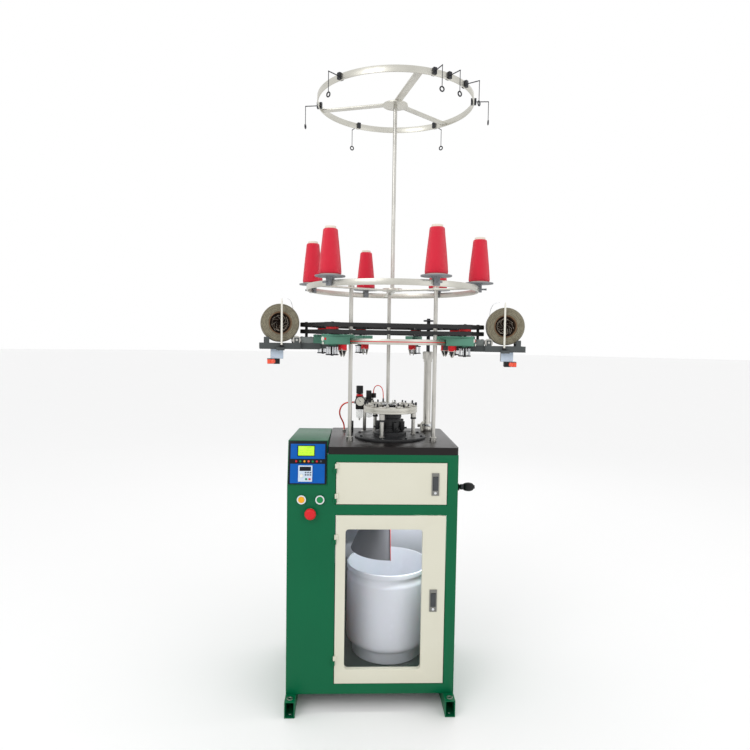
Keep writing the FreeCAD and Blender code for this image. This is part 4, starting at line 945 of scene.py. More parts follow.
def drive():
    kept(eased("main_motor", 0.001), "machine", greyEnamel, "grey_enamel", "main_motor")
    low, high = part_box("main_motor")
    centre = ((low.x + high.x) / 2, (low.y + high.y) / 2, 0)
    fins = []
    for number in range(motorSet["fins"]):
        foot = low.z + motorSet["firstFin"] + motorSet["finStep"] * number
        profile = hollowProfile(motorSet["finRadius"], motorSet["finBore"], foot, foot + motorSet["fin"],
                                0.0006)
        fins.append(turned("fin", profile, centre))
    kept(joined("motorFins", fins), "machine", greyEnamel, "grey_enamel")
    for node, finish in plainNodes.items():
        paintNode(node, finish)
    kept(eased("crank_shaft", 0.0008), "crank", darkSteel, "dark_steel", "crank_shaft")
    crankKnob()


def crankKnob():
    low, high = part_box("crank_grip")
    length, bore = high.x - low.x, 0.00405
    profile = closed([(bore, 0), (0.0105, 0), (0.0125, 0.002), (0.0146, 0.008), (0.0157, 0.015),
                      (0.0158, 0.021), (0.0144, 0.028), (0.0122, 0.033), (0.0102, length - 0.001),
                      (0.0085, length), (bore, length)])
    knob = turned("crankKnob", profile, (low.x, (low.y + high.y) / 2, (low.z + high.z) / 2), (1, 0, 0), 36)
    kept(knob, "grip", blackPlastic, "black_plastic", "crank_grip")


drive()
print("drive")


# knitting head

headSet = {"discRadius": 0.130, "discThick": 0.009, "discBore": 0.034, "skirt": 0.060, "camRadius": 0.038,
           "camBore": 0.0304, "levers": 6, "carriers": (130, 200), "postCircle": 0.087,
           "postAngles": (-23, 97, 217), "collar": (0.028, 0.022), "boltCircle": 0.118, "bolts": 8,
           "ringBore": 0.062}
needleSet = {"count": 72, "circle": 0.0292, "radius": 0.0005}


def knittingHead():
    ringLow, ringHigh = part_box("guide_ring")
    table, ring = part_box("cam_box")[0].z, ringLow.z
    top = table + headSet["discThick"]
    kept(headCasting(table, top, ring), "machine", castBlack, "cast_black", "cam_box")
    collarLow, collarHigh = (ring - drop for drop in headSet["collar"])
    posts, collars = [], []
    for angle in headSet["postAngles"]:
        at = polar(headSet["postCircle"], angle, 0)
        posts.append(turned("post", [(0, top), (0.0095, top), (0.0095, top + 0.004), (0.007, top + 0.005),
                                     (0.007, collarLow), (0, collarLow)], at, steps=28))
        posts.append(turned("postHead", hollowProfile(0.0100, 0.002, collarHigh, ring, 0.001), at, steps=28))
        collars.append(turned("collar", hollowProfile(0.0105, 0.002, collarLow, collarHigh), at, steps=28))
    kept(joined("headPosts", posts), "machine", machinedSteel, "machined_steel")
    boltProfile = lifted([(0, -0.002), (0.005, -0.002), (0.005, 0.0035), (0.0042, 0.004), (0.0026, 0.004),
                          (0.0026, 0.0015), (0, 0.0015)], top)
    step = 360 / headSet["bolts"]
    bolts = [turned("bolt", boltProfile, polar(headSet["boltCircle"], 25 + step * number, 0), steps=16)
             for number in range(headSet["bolts"])]
    kept(joined("headCollars", collars + bolts), "machine", darkSteel, "dark_steel")
    outer, bore = ringHigh.x, headSet["ringBore"]
    profile = closed([*lifted([(bore, 0.001), (bore + 0.001, 0), (outer - 0.001, 0), (outer, 0.001),
                               (outer, 0.0075), (outer - 0.0015, 0.0085), (outer - 0.0015, 0.0115),
                               (outer, 0.0125)], ring),
                      *lifted([(outer, -0.0015), (outer - 0.0015, 0), (bore + 0.004, 0),
                               (bore + 0.002, -0.003), (bore, -0.003)], ringHigh.z)])
    kept(turned("guideRing", profile, steps=96), "machine", ringAlloy, "ring_alloy", "guide_ring")
    print("head body")
    stations()
    kept(eased("needle_cylinder", 0), "cylinder", darkSteel, "dark_steel", "needle_cylinder")
    needles(ring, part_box("needle_cylinder")[1].z)


def headCasting(table, top, ring):
    disc, cam, bore = headSet["discRadius"], headSet["camRadius"], headSet["camBore"]
    base = turned("headDisc", closed([(headSet["discBore"], table), (disc - 0.001, table),
                                      (disc, table + 0.001),
                                      *lifted([(disc, -0.003), (disc - 0.003, 0), (disc - 0.016, 0),
                                               (disc - 0.018, -0.0015), (0.066, -0.0015), (0.064, 0),
                                               (headSet["discBore"], 0)], top)]), steps=96)
    skirt = turned("camSkirt",
                   closed(lifted([(cam + 0.0004, 0), (headSet["skirt"], 0), (headSet["skirt"], 0.009),
                                  (headSet["skirt"] - 0.004, 0.014), (cam + 0.004, 0.014),
                                  (cam + 0.0004, 0.012)], top)), steps=64)
    drum = turned("camDrum", closed([*lifted([(bore, 0), (cam, 0), (cam, 0.026), (cam - 0.0025, 0.028),
                                              (cam - 0.0025, 0.034), (cam, 0.036)], top),
                                     *lifted([(cam, -0.024), (cam + 0.003, -0.021), (cam + 0.003, -0.006),
                                              (cam + 0.001, -0.004), (bore, -0.004)], ring)]), steps=64)
    levers = []
    for number in range(headSet["levers"]):
        lever = block("lever", (-0.0075, -0.053, top + 0.018), (0.0075, -0.0385, top + 0.050), 0.0012)
        toe = block("toe", (-0.003, -0.062, top + 0.024), (0.003, -0.050, top + 0.030))
        levers.extend(around(joined("lever", [lever, toe]), (20 + 360 / headSet["levers"] * number,)))
    for angle in headSet["carriers"]:
        carrier = block("carrier", (-0.012, -0.058, top + 0.014), (0.012, -(cam + 0.0035), ring - 0.030),
                        0.0012)
        levers.extend(around(carrier, (angle,)))
    return joined("headCasting", [base, skirt, drum, *levers])


def needles(ring, rim):
    out = needleSet["circle"]
    needle = wire("needle", [(0, -out, ring - 0.012), (0, -out, ring + 0.010), (0, -out, rim + 0.004),
                             (0, -out - 0.0016, rim + 0.0065), (0, -out - 0.0024, rim + 0.004)],
                  needleSet["radius"], sides=0)
    turns = [360 / needleSet["count"] * (number + 0.5) for number in range(needleSet["count"])]
    kept(joined("needles", around(needle, turns)), "cylinder", chrome, "machined_steel")


stationSet = {"count": 12, "first": 15, "tallPin": 0.018, "shortPin": 0.012, "tallEvery": 3, "leverTurn": 12,
              "pinCircle": 0.086, "hosePin": 195}


def stations():
    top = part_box("guide_ring")[1].z
    shiny, dull, white = [], [], []
    for number in range(stationSet["count"]):
        angle = stationSet["first"] + 360 / stationSet["count"] * number
        tall = stationSet["shortPin"] if number % stationSet["tallEvery"] else stationSet["tallPin"]
        foot = block("foot", (-0.005, -0.092, top), (0.005, -0.069, top + 0.006), 0.0008)
        arm = block("arm", (-0.0022, -0.074, top + 0.006), (0.0022, -0.050, top + 0.0078), 0.0006)
        tip = wire("tip", [(0, -0.052, top + 0.0068), (0, -0.046, top + 0.0068), (0, -0.041, top + 0.005),
                           (0, -0.0385, top - 0.001)], 0.0011)
        pin = turned("pin", [(0, top + 0.006), (0.0032, top + 0.006), (0.0032, top + tall - 0.002),
                             (0.0022, top + tall), (0, top + tall)], (0, -stationSet["pinCircle"], 0),
                     steps=16)
        screw = screwHead("screw", (0, -0.0735, top + 0.006), (0, 0, 1), 0.0026, 0.0022)
        side = block("side", (0.0062, -0.090, top), (0.0108, -0.072, top + 0.0042), 0.0006)
        shiny.extend(around(joined("unit", [foot, arm, tip, screw, side]), (angle,)))
        dull.extend(around(pin, (angle,)))
        if number % 2:
            ring = eyelet("eye", (0.0085, -0.084, top + 0.0085), (1, 0, 0.3), 0.0032, 0.0009)
            stem = bar("stem", (0.0085, -0.084, top + 0.003), (0.0085, -0.084, top + 0.0055), 0.0008,
                       0.0002, 10)
            white.extend(around(joined("eye", [ring, stem]), (angle,)))
        else:
            lever = block("lever", (-0.0014, -0.0975, top + 0.0012), (0.0014, -0.089, top + 0.013), 0.0006)
            dull.extend(around(lever, (angle + stationSet["leverTurn"],)))
    kept(joined("guideStations", shiny), "machine", machinedSteel, "machined_steel", "yarn_guides")
    kept(joined("guidePins", dull), "machine", darkSteel, "dark_steel")
    kept(joined("guideEyes", white), "machine", ivoryPlastic, "machined_steel")


knittingHead()
print("knitting head")


# air supply unit beside the head

airSet = {"main": (-0.112, 0.100), "second": (-0.075, 0.100), "up": 0.090, "half": 0.015, "secondHalf": 0.014,
          "valve": (-0.058, 0.024), "plug": (-0.170, 0.142), "hose": 0.003, "pilot": 0.0018,
          "gauge": (0.002, -0.0281, 0.032), "marks": 9, "markCircle": 0.0135, "sweep": 270}


def airUnit():
    x, y = airSet["main"]
    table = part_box("table_top")[1].z
    base = table + airSet["up"]
    airBodies(x, y, table, base)
    gauge(x + airSet["gauge"][0], y + airSet["gauge"][1], base + airSet["gauge"][2])
    knob = ribbed("regulatorKnob", (x, y, base + 0.060), 0.0132,
                  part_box("regulator_knob")[1].z - base - 0.060, 18, 0.0008)
    neck = bar("neck", (x, y, base + 0.0573), (x, y, base + 0.0605), 0.006)
    kept(joined("regulatorKnob", [knob, neck]), "pressure_knob", blackPlastic, "black_plastic",
         "regulator_knob")
    airHoses(table)


def airBodies(x, y, table, base):
    sx, sy = airSet["second"]
    half, secondHalf = airSet["half"], airSet["secondHalf"]
    valveX, valveY = airSet["valve"]
    plugX, plugY = airSet["plug"]
    left, right = x + half, sx - secondHalf
    black = [block("body", (x - half, y - half, base), (left, y + half, base + 0.050), 0.003, 3),
             block("second", (right, y - secondHalf, base),
                   (sx + secondHalf, y + secondHalf, base + 0.040), 0.003, 3),
             block("link", (left - 0.001, y - 0.009, base + 0.014),
                   (right + 0.001, y + 0.009, base + 0.034), 0.001),
             block("top", (right + 0.002, y - 0.012, base + 0.038),
                   (right + 0.022, y + 0.012, base + 0.072), 0.002),
             turned("rim", closed([(0.0145, 0), (0.0200, 0), (0.0200, 0.0085), (0.0188, 0.009),
                                   (0.0172, 0.009), (0.0165, 0.007), (0, 0.007), (0, 0)]),
                    (x + 0.002, y - 0.021, base + 0.032), (0, -1, 0)),
             bar("neck", (x + 0.002, y - 0.0155, base + 0.032), (x + 0.002, y - 0.0205, base + 0.032), 0.005),
             turned("valve", solidProfile(0.010, 0.018, 0.001), (valveX, y + valveY, base + 0.042), steps=24),
             block("pilot", (-0.148, 0.112, table), (-0.134, 0.126, table + 0.042), 0.001),
             block("post", (left - 0.001, y + 0.009, base + 0.010),
                   (right + 0.004, y + 0.016, base + 0.028), 0.001)]
    kept(joined("airBodies", black), "machine", blackPlastic, "black_plastic", "air_unit")
    steel = [block("post", (left - 0.001, y + 0.016, table), (right + 0.004, y + 0.034, base + 0.044)),
             block("shoe", (left - 0.006, y + 0.012, table), (right + 0.009, y + 0.038, table + 0.003)),
             block("arm", (right + 0.004, y + 0.020, base + 0.032), (valveX, y + 0.030, base + 0.042)),
             bar("inlet", (x - half, y, base + 0.026), (x - half - 0.007, y, base + 0.026), 0.005),
             bar("hosePlug", (plugX, plugY, table), (plugX, plugY, table + 0.006), 0.007, 0.001),
             turned("drain", solidProfile(0.003, 0.008, 0.0006), (x, y, base - 0.043), steps=16)]
    kept(joined("airMounting", steel), "machine", machinedSteel, "machined_steel")
    bowls = [turned("bowl", [(0, -0.035), (0.006, -0.035), (0.0095, -0.033), (0.0118, -0.029),
                             (0.0125, -0.024), (0.0125, 0), (0, 0)], (x, y, base), steps=36),
             turned("bowl", [(0, -0.032), (0.0055, -0.032), (0.0090, -0.030), (0.0110, -0.026),
                             (0.0115, -0.022), (0.0115, 0), (0, 0)], (sx, sy, base), steps=36)]
    kept(joined("airBowls", bowls), "machine", clearBowl, "clear_pane")
    collar = ribbed("airCollar", (x, y, base + 0.050), 0.013, 0.0068, 20, 0.0005)
    kept(collar, "machine", redPlastic, "red_plastic")


def gauge(x, y, z):
    dial = turned("gaugeDial", solidProfile(0.0166, 0.0004, 0.0001), (x, y, z), (0, -1, 0))
    kept(dial, "machine", ivoryPlastic, "white_plastic")
    circle, sweep, count = airSet["markCircle"], airSet["sweep"], airSet["marks"]
    marks = []
    for number in range(count):
        angle = math.radians(-sweep / 2 + sweep * number / (count - 1))
        centre = Vector((x + circle * math.sin(angle), y - 0.0004, z + circle * math.cos(angle)))
        inward = Vector((-math.sin(angle), 0, -math.cos(angle))) * 0.0025
        marks.append(bar("mark", centre, centre + inward, 0.00035, 0.0001, 6))
    marks.append(bar("hand", (x, y - 0.0007, z), (x - 0.008, y - 0.0007, z + 0.0085), 0.0005, 0.0001, 6))
    marks.append(turned("hub", solidProfile(0.0018, 0.0008, 0.0002), (x, y - 0.0003, z), (0, -1, 0), 12))
    kept(joined("gaugeMarks", marks), "machine", panelBlack, "black_plastic")


def airHoses(table):
    # Routes listed as heights above the table: each ends in its plug.
    pin = polar(stationSet["pinCircle"], stationSet["hosePin"], 0)
    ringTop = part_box("guide_ring")[1].z - table
    supply = [(-0.134, 0.100, 0.116), (-0.152, 0.100, 0.116), (-0.170, 0.102, 0.111), (-0.183, 0.107, 0.098),
              (-0.189, 0.114, 0.078), (-0.186, 0.125, 0.057), (-0.177, 0.136, 0.040), (-0.170, 0.142, 0.022),
              (-0.170, 0.142, 0.005)]
    pilot = [(-0.058, 0.124, 0.150), (-0.058, 0.124, 0.162), (-0.054, 0.120, 0.174), (-0.046, 0.111, 0.181),
             (-0.036, 0.099, 0.181), (-0.027, 0.089, 0.173), (pin.x, pin.y, 0.157),
             (pin.x, pin.y, ringTop + 0.018)]
    hoses = [wire("hose", [(x, y, table + z) for x, y, z in route], radius, sides=5)
             for route, radius in ((supply, airSet["hose"]), (pilot, airSet["pilot"]))]
    kept(joined("airHoses", hoses), "machine", hoseRed, "hose_red", "air_hose")


airUnit()
print("air unit")


# rings, poles and column

ringEdges = {"feeder_ring": 0.0010, "cone_ring": 0.0006, "top_ring": 0.0006}
stripeSet = {"low": 0.0082, "high": 0.0110, "proud": 0.0004, "sunk": 0.0005}
columnSet = {"band": (0.018, 0.027), "bandRadius": 0.0192, "neckRadius": 0.0205, "neck": (0.030, 0.0008)}


def ringsAndPoles():
    for node, edge in ringEdges.items():
        kept(eased(node, edge), "machine", ringAlloy, "ring_alloy", node)
    paintNode("support_poles", machinedSteel)
    paintNode("feeder_belts", rubber)
    low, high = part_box("feeder_ring")
    stripe = hollowProfile(high.x + stripeSet["proud"], high.x - stripeSet["sunk"], low.z + stripeSet["low"],
                           low.z + stripeSet["high"], 0.0001)
    kept(turned("ringStripe", stripe, steps=128), "machine", redPlastic, "red_plastic")


def beltColumn():
    kept(eased("belt_column", 0.001), "machine", machinedSteel, "machined_steel", "belt_column")
    kept(eased("column_shaft", 0.0006), "drive_column", darkSteel, "dark_steel", "column_shaft")
    low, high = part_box("belt_column")
    x, y = joints["drive_column_spin"]["pos_m"][:2]
    elbow = wire("columnElbow", [(x - 0.020, y - 0.012, low.z + 0.001),
                                 (x - 0.026, y - 0.016, low.z + 0.018),
                                 (x - 0.022, y - 0.016, low.z + 0.032),
                                 (x - 0.012, y - 0.014, low.z + 0.036)], 0.0045, sides=4)
    kept(elbow, "machine", ivoryPlastic, "white_plastic")
    bandLow, bandHigh = (low.z + up for up in columnSet["band"])
    band = turned("columnBand", hollowProfile(columnSet["bandRadius"], 0.0172, bandLow, bandHigh, 0.0004),
                  (x, y, 0))
    neckLow, neckHigh = (high.z - down for down in columnSet["neck"])
    neck = turned("columnNeck", hollowProfile(columnSet["neckRadius"], 0.0150, neckLow, neckHigh, 0.0012),
                  (x, y, 0))
    kept(neck, "machine", machinedSteel, "machined_steel")
    ears = block("ear", (x + 0.002, y - 0.0265, bandLow + 0.0005), (x + 0.009, y - 0.017, bandHigh - 0.0005))
    kept(joined("columnClamp", [band, ears]), "machine", chrome, "chrome")


# yarn cones on their ring

coneSet = {"circle": 0.310, "angles": (22.8, 77.5, 140, 197, 252, 315.4), "height": 0.138, "base": 0.037,
           "top": 0.024, "tubeFoot": 0.012, "overhang": 0.0085, "crown": 0.0005, "rounds": 8}


def packageProfile(start, end):
    base, tip, rounds = coneSet["base"], coneSet["top"], coneSet["rounds"]
    lower = start - coneSet["overhang"]
    profile = [(0.0338, lower), (base - 0.0025, lower), (base - 0.0004, lower + 0.0022),
               (base + 0.0002, lower + 0.008)]
    for step in range(1, rounds):
        share = step / rounds
        profile.append((base + (tip - base) * share + coneSet["crown"] * math.sin(math.pi * share),
                        start + 0.006 + (coneSet["height"] - 0.012) * share))
    return closed(profile + lifted([(tip + 0.0004, -0.006), (tip - 0.0008, -0.0018), (tip - 0.0035, 0),
                                    (0.0187, -0.0008)], end))


def cones():
    kept(eased("cone_holders"), "machine", greyEnamel, "grey_enamel", "cone_holders")
    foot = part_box("yarn_cones")[0].z
    start = foot + coneSet["tubeFoot"]
    end = start + coneSet["height"]
    package = packageProfile(start, end)
    tube = closed([(0.0318, foot + 0.0004), (0.0335, foot), (0.0340, foot + 0.001), (0.0334, start + 0.001),
                   *lifted([(0.0190, -0.001), (0.0184, 0.007), (0.0176, 0.0078), (0.0168, 0.0076),
                            (0.0172, 0)], end)])
    for number, angle in enumerate(coneSet["angles"], start=1):
        at = polar(coneSet["circle"], angle, 0)
        # the second tone is the painted shade in the thread grooves
        yarn = woundYarn("redYarn_%d" % number, tone(240, 16, 58), tone(188, 2, 34), (at.x, at.y, 0.9),
                         (0, 0, 1))
        stoodFor = ("yarn_cones",) if number == 1 else ()
        kept(turned("yarnPackage_%d" % number, package, at, steps=56), "machine", yarn, "cone_yarn",
             *stoodFor)
        kept(turned("coneTube_%d" % number, tube, at), "machine", paperWhite, "cone_yarn")


def threadGuides():
    kept(eased("thread_guides", 0.0004, 1), "machine", darkSteel, "dark_steel", "thread_guides")


ringsAndPoles()
beltColumn()
cones()
threadGuides()
print("rings, cones and guides")


# belt-driven yarn feeders

feederSet = {"half": 0.018, "inner": 0.2055, "outer": 0.304, "axis": 0.270, "stop": 0.226, "jaw": 0.1845,
             "feeler": 0.009, "wedgeTaper": 0.86}
spindleSet = {"belt": 0.027, "axle": 0.005, "flange": 0.022, "beltWide": (0.013, 0.014), "clutch": 0.0212,
              "fingers": 12, "fingerCircle": 0.0185, "finger": 0.0016}


def feeders():
    spins = sorted(name for name in joints if name.startswith("spindle_"))
    angles = [angleOf(joints[name]["pos_m"]) for name in spins]
    low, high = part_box("feeder_ring")[0].z - 0.002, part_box("feeder_belts")[0].z - 0.0025

    def everywhere(name, pieces, finish, slot, *stoodFor):
        unit = joined("unit", pieces)
        kept(joined(name, around(unit, angles)), "machine", finish, slot, *stoodFor)

    everywhere("feederCases", feederCase(low, high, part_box("feeder_ring")[1].z), feederGreen, "feeder_green",
               "feeder_housings")
    half, inner, outer, stop = feederSet["half"], feederSet["inner"], feederSet["outer"], feederSet["stop"]
    thumb = ribbed("thumb", (0, -feederSet["jaw"], low + 0.010), 0.006, 0.008, 12, 0.0006, (0, 1, 0))
    screws = [screwHead("screw", (side, place, high - 0.0002), (0, 0, 1), 0.0022, 0.0012)
              for side in (0.006 - half, half - 0.006) for place in (0.007 - outer, -inner - 0.008)]
    everywhere("feederScrews", [thumb, *screws], chrome, "chrome")
    cap = ribbed("cap", (0, -stop, low - 0.018), 0.0148, 0.0178, 18, 0.0012)
    lens = turned("lens", [(0, 0), (0.0042, 0), (0.0042, 0.001), (0.003, 0.003), (0, 0.0038)],
                  (0.008, -outer, high - 0.016), (0, -1, 0), 18)
    everywhere("stopCaps", [cap, lens], redPlastic, "red_plastic", "stop_detectors")
    feelers, wedges = stopFeelers(low)
    everywhere("feederWedges", wedges, blackPlastic, "black_plastic")
    plate = block("plate", (-0.012, -stop - 0.0125, low - 0.0205), (0.012, -stop + 0.0125, low - 0.018))
    guide = wire("guide", [(0, -outer, low + 0.006), (0, -outer - 0.004, low + 0.006),
                           (0, -outer - 0.0055, low + 0.004)], 0.0014)
    everywhere("feederFeelers", [*feelers, plate, guide], machinedSteel, "machined_steel")
    eye = eyelet("eye", (0, -outer - 0.0045, low + 0.0045), (0, 1, 0.2), 0.0034, 0.0012)
    tensioner = turned("disc", [(0, 0), (0.0075, 0), (0.0062, 0.0016), (0.0022, 0.002), (0.0022, 0.004),
                                (0, 0.004)], (-0.008, -outer, high - 0.016), (0, -1, 0), 24)
    everywhere("feederEyes", [eye, tensioner], ivoryPlastic, "machined_steel")
    spindles(low, angles)


def feederCase(low, high, ringTop):
    half, inner, outer, jaw = feederSet["half"], feederSet["inner"], feederSet["outer"], feederSet["jaw"]
    return [block("body", (-half, -outer, low), (half, -inner, high - 0.006), 0.004, 3),
            block("lid", (-half + 0.0006, -outer + 0.0006, high - 0.0066),
                  (half - 0.0006, -inner - 0.0006, high), 0.0022, 3),
            block("bridge", (-half + 0.004, -inner - 0.010, ringTop), (half - 0.004, -jaw, high), 0.002),
            block("jaw", (-half + 0.006, -0.190, low + 0.004), (half - 0.006, -jaw, ringTop + 0.001), 0.0012),
            turned("boss", hollowProfile(0.012, 0.0052, low - 0.004, low + 0.001, 0.0006),
                   (0, -feederSet["axis"], 0))]


def stopFeelers(low):
    stop, foot, tall = feederSet["stop"], low - 0.038, 0.019
    feelers, wedges = [], []
    for side in (-feederSet["feeler"], feederSet["feeler"]):
        feelers.append(wire("feeler", [(side, -stop + 0.011, low - 0.014),
                                       (side, -stop + 0.010, low - 0.020),
                                       (side * 0.8, -stop + 0.001, low - 0.041),
                                       (side * 0.8, -stop - 0.001, low - 0.041),
                                       (side, -stop - 0.010, low - 0.020),
                                       (side, -stop - 0.011, low - 0.014)], 0.0017))
        wedge = block("wedge", (side - 0.0008, -stop - 0.0085, foot),
                      (side + 0.0008, -stop + 0.0085, low - tall), 0.0003, 1)
        for vertex in wedge.data.vertices:
            fall = min(1, max(0, (low - tall - vertex.co.z) / tall))
            vertex.co.y = -stop + (vertex.co.y + stop) * (1 - feederSet["wedgeTaper"] * fall)
        wedges.append(wedge)
    return feelers, wedges


def spindles(low, angles):
    beltLow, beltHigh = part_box("feeder_belts")
    at = (0, -feederSet["axis"], 0)
    belt, axle = spindleSet["belt"], spindleSet["axle"]
    lower = (beltLow.z, beltLow.z + spindleSet["beltWide"][0])
    upper = (beltHigh.z - spindleSet["beltWide"][1], beltHigh.z)
    parts = []
    for foot, top in (lower, upper):
        parts.append(turned("pulley",
                            closed([*lifted([(axle, -0.0008), (belt, -0.0008), (belt + 0.0003, 0),
                                             (belt - 0.0004, 0.0004)], foot),
                                    *lifted([(belt - 0.0004, -0.0004), (belt + 0.0003, 0), (belt, 0.0008),
                                             (0.014, 0.0008), (0.012, -0.001), (axle, -0.001)], top)]), at))
    parts.append(turned("axle", [(0, low - 0.038), (axle, low - 0.038),
                                 *lifted([(axle, 0.002), (0.004, 0.003), (0, 0.003)], upper[1])], at,
                        steps=20))
    for foot in (low - 0.036, low - 0.008):
        parts.append(turned("flange", hollowProfile(spindleSet["flange"], 0.004, foot, foot + 0.004, 0.001),
                            at))
    spindle = joined("spindle", parts)
    bars = []
    for number in range(spindleSet["fingers"]):
        place = polar(spindleSet["fingerCircle"], 360 / spindleSet["fingers"] * number, 0) + Vector(at)
        bars.append(bar("finger", (place.x, place.y, low - 0.033), (place.x, place.y, low - 0.007),
                        spindleSet["finger"], 0.0003, 8))
    fingers = joined("fingers", bars)
    clutch = ribbed("clutch", (0, -feederSet["axis"], lower[1] + 0.0012), spindleSet["clutch"],
                    upper[0] - lower[1] - 0.0024, 22, 0.0010)
    for number, angle in enumerate(angles, start=1):
        body = "spindle_%d" % number
        kept(called(swung(spindle, angle), "spindleBody_%d" % number), body, blackPlastic, "black_plastic",
             "feeder_spindle_%d" % number)
        kept(called(swung(fingers, angle), "spindleFingers_%d" % number), body, chrome, "machined_steel")
        kept(called(swung(clutch, angle), "spindleClutch_%d" % number), body, redPlastic, "red_plastic")
    for spare in (spindle, fingers, clutch):
        bpy.data.objects.remove(spare)


feeders()
print("feeders")


# elastic yarn spool units

spoolSet = {"axis": 0.404, "radius": 0.066, "bore": 0.039, "half": 0.043, "trayUp": 0.052, "ridges": 12,
            "rim": 0.0015, "ends": 14, "endTurn": 137.5, "end": 0.0007, "steps": 72}
fittingSet = {"half": 0.052, "gearboxHalf": 0.0256, "gearboxY": (-0.3326, -0.2874), "screwX": 0.019,
              "screwY": (-0.326, -0.294), "needleUp": 0.1645, "guard": 0.0011}


def spoolUnits():
    kept(eased("spool_trays"), "machine", trayGrey, "tray_grey", "spool_trays")
    height = joints["spool_left_spin"]["pos_m"][2]
    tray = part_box("spool_trays")[0].z + spoolSet["trayUp"]
    at = Vector((0, -spoolSet["axis"], height))
    for side in ("left", "right"):
        body = "spool_" + side
        angle = angleOf(joints["spool_%s_spin" % side]["pos_m"])
        turn = math.radians(angle)
        # the second tone is the painted shade in the thread grooves
        yarn = woundYarn("elasticYarn_" + side, tone(134, 128, 108), tone(84, 78, 62),
                         tuple(polar(spoolSet["axis"], angle, height)), (math.cos(turn), math.sin(turn), 0),
                         0.0022, 0.15)
        kept(turnedTo(windings(at), angle, "elasticSpool_" + side), body, yarn, "spool_yarn", body)
        card = paper("corePaper_" + side, tone(120, 92, 66))
        kept(turnedTo(spoolCore(at), angle, "spoolCore_" + side), body, card, "spool_yarn")
        paintNode("spool_roller_" + side, machinedSteel)
        paintNode("spool_drive_" + side, blackPlastic)
        facing = mirrored if side == "left" else settled
        kept(turnedTo(facing(spoolPlug(at)), angle, "spoolPlug_" + side), body, darkPaper, "spool_yarn")
        kept(turnedTo(facing(spoolEnds(at)), angle, "spoolEnds_" + side), body, paperWhite, "spool_yarn")
        for name, (piece, finish, slot) in spoolFittings(tray, height).items():
            kept(turnedTo(facing(piece), angle, name + "_" + side), "machine", finish, slot)


def windings(at):
    half, radius, bore, ridges = spoolSet["half"], spoolSet["radius"], spoolSet["bore"], spoolSet["ridges"]
    profile = [(bore, -half + 0.001), (bore + 0.001, -half), (radius - 0.006, -half),
               (radius - 0.002, -half + 0.0012), (radius - 0.0004, -half + 0.004)]
    for step in range(1, ridges):
        profile.append((radius - 0.0002 - 0.0004 * (step % 2),
                        -half + 0.004 + (2 * half - 0.008) * step / ridges))
    profile += [(radius - 0.0004, half - 0.004), (radius - 0.002, half - 0.0012), (radius - 0.006, half),
                (bore + 0.001, half), (bore, half - 0.001)]
    return turned("windings", closed(profile), at, (1, 0, 0), spoolSet["steps"])


def spoolCore(at):
    bore, end = spoolSet["bore"], spoolSet["half"] + spoolSet["rim"]
    profile = [(bore - 0.003, -end), (bore - 0.0004, -end), (bore - 0.0002, end), (bore - 0.003, end)]
    return turned("core", closed(profile), at, (1, 0, 0), 56)


def spoolPlug(at):
    half, bore = spoolSet["half"], spoolSet["bore"]
    profile = lifted([(0, -0.010), (0.008, -0.011), (0.012, -0.016), (bore - 0.008, -0.016),
                      (bore - 0.0028, -0.020), (bore - 0.0028, -0.004), (0, -0.004)], half)
    return turned("plug", closed(profile), at, (1, 0, 0))


def spoolEnds(at):
    # Loose yarn ends inside the core, laid in a spread of turns.
    half = spoolSet["half"]
    ends = []
    for number in range(spoolSet["ends"]):
        spin = spoolSet["endTurn"] * number
        inner, outer = 0.006 + 0.0009 * number, 0.030 - 0.0008 * (number % 5)
        middle, last = half - 0.045 + 0.003 * (number % 4), -half + 0.012 + 0.004 * (number % 3)
        first, second, third = [
            Vector((along, reach * math.cos(spin + ahead), reach * math.sin(spin + ahead)))
            for along, reach, ahead in ((half - 0.018, inner, 0), (middle, outer, 0.8), (last, outer, 1.5))]
        bend = at + (first + second) / 2 + Vector((0, 0.002, 0.003))
        ends.append(wire("end", [at + first, bend, at + second, at + third], spoolSet["end"], sides=1))
    return joined("ends", ends)


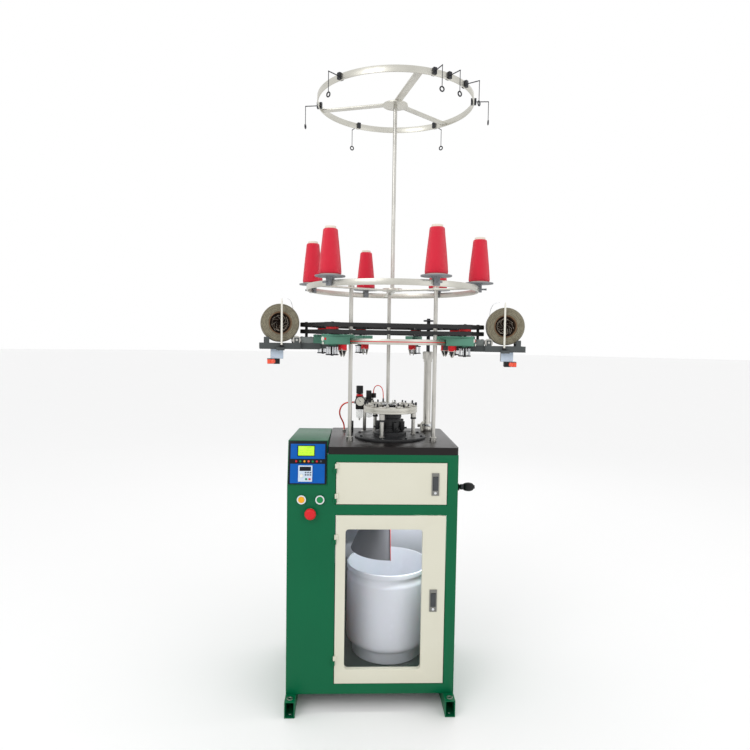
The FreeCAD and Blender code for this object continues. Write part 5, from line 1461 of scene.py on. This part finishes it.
def spoolFittings(tray, height):
    half, out = fittingSet["half"], spoolSet["axis"]
    side, (near, far) = fittingSet["gearboxHalf"], fittingSet["gearboxY"]
    screwX = fittingSet["screwX"]
    gearbox = joined("gearbox", [
        block("box", (-side, near, tray + 0.004), (side, far, tray + 0.0436), 0.003, 3),
        *[screwHead("screw", (x, y, tray + 0.0434), (0, 0, 1), 0.0028, 0.0014)
          for x in (-screwX, screwX) for y in fittingSet["screwY"]]])
    lens = turned("lens", [(0, 0), (0.0085, 0), (0.0085, 0.003), (0.0070, 0.0062), (0.0035, 0.0082),
                           (0, 0.0086)], (-0.0238, -0.427, tray - 0.043), (-1, 0, 0), 28)
    glow = block("glow", (-0.0244, -0.4466, tray - 0.0516), (0.0244, -0.4306, tray - 0.0356), 0.0014)
    plate = block("plate", (-0.0206, -0.4346, tray - 0.0336), (-0.0176, -0.3916, tray - 0.001))
    body = block("sensor", (-0.0242, -0.4300, tray - 0.0524), (0.0242, -0.4036, tray - 0.0336), 0.0016)
    tip = fittingSet["needleUp"]
    needle = turned("needle", [(0, 0), (0.0034, 0), (0.0034, 0.128), (0.0032, 0.150), (0.0010, tip - 0.001),
                               (0, tip)], (-half - 0.006, -out + 0.004, tray + 0.010), steps=16)
    clamp = ribbed("clamp", (-half - 0.006, -out + 0.004, tray + 0.002), 0.006, 0.012, 14, 0.0006)
    guard = wire("guard", [(half - 0.002, -0.3555, tray + 0.030), (half, -0.350, height + 0.040),
                           (half - 0.002, -0.360, height + 0.078), (0, -0.372, height + 0.085),
                           (-half + 0.004, -0.380, height + 0.083)], fittingSet["guard"])
    return {"spoolGearbox": (gearbox, gearboxGrey, "tray_grey"),
            "sensorLens": (joined("lens", [lens, glow]), orangePlastic, "red_plastic"),
            "sensorPlate": (plate, keypadGrey, "grey_plastic"),
            "sensorBody": (joined("sensor", [body, clamp]), blackPlastic, "black_plastic"),
            "yarnNeedle": (needle, ivoryPlastic, "machined_steel"),
            "spoolGuard": (guard, chrome, "machined_steel")}


spoolUnits()
print("spool units")
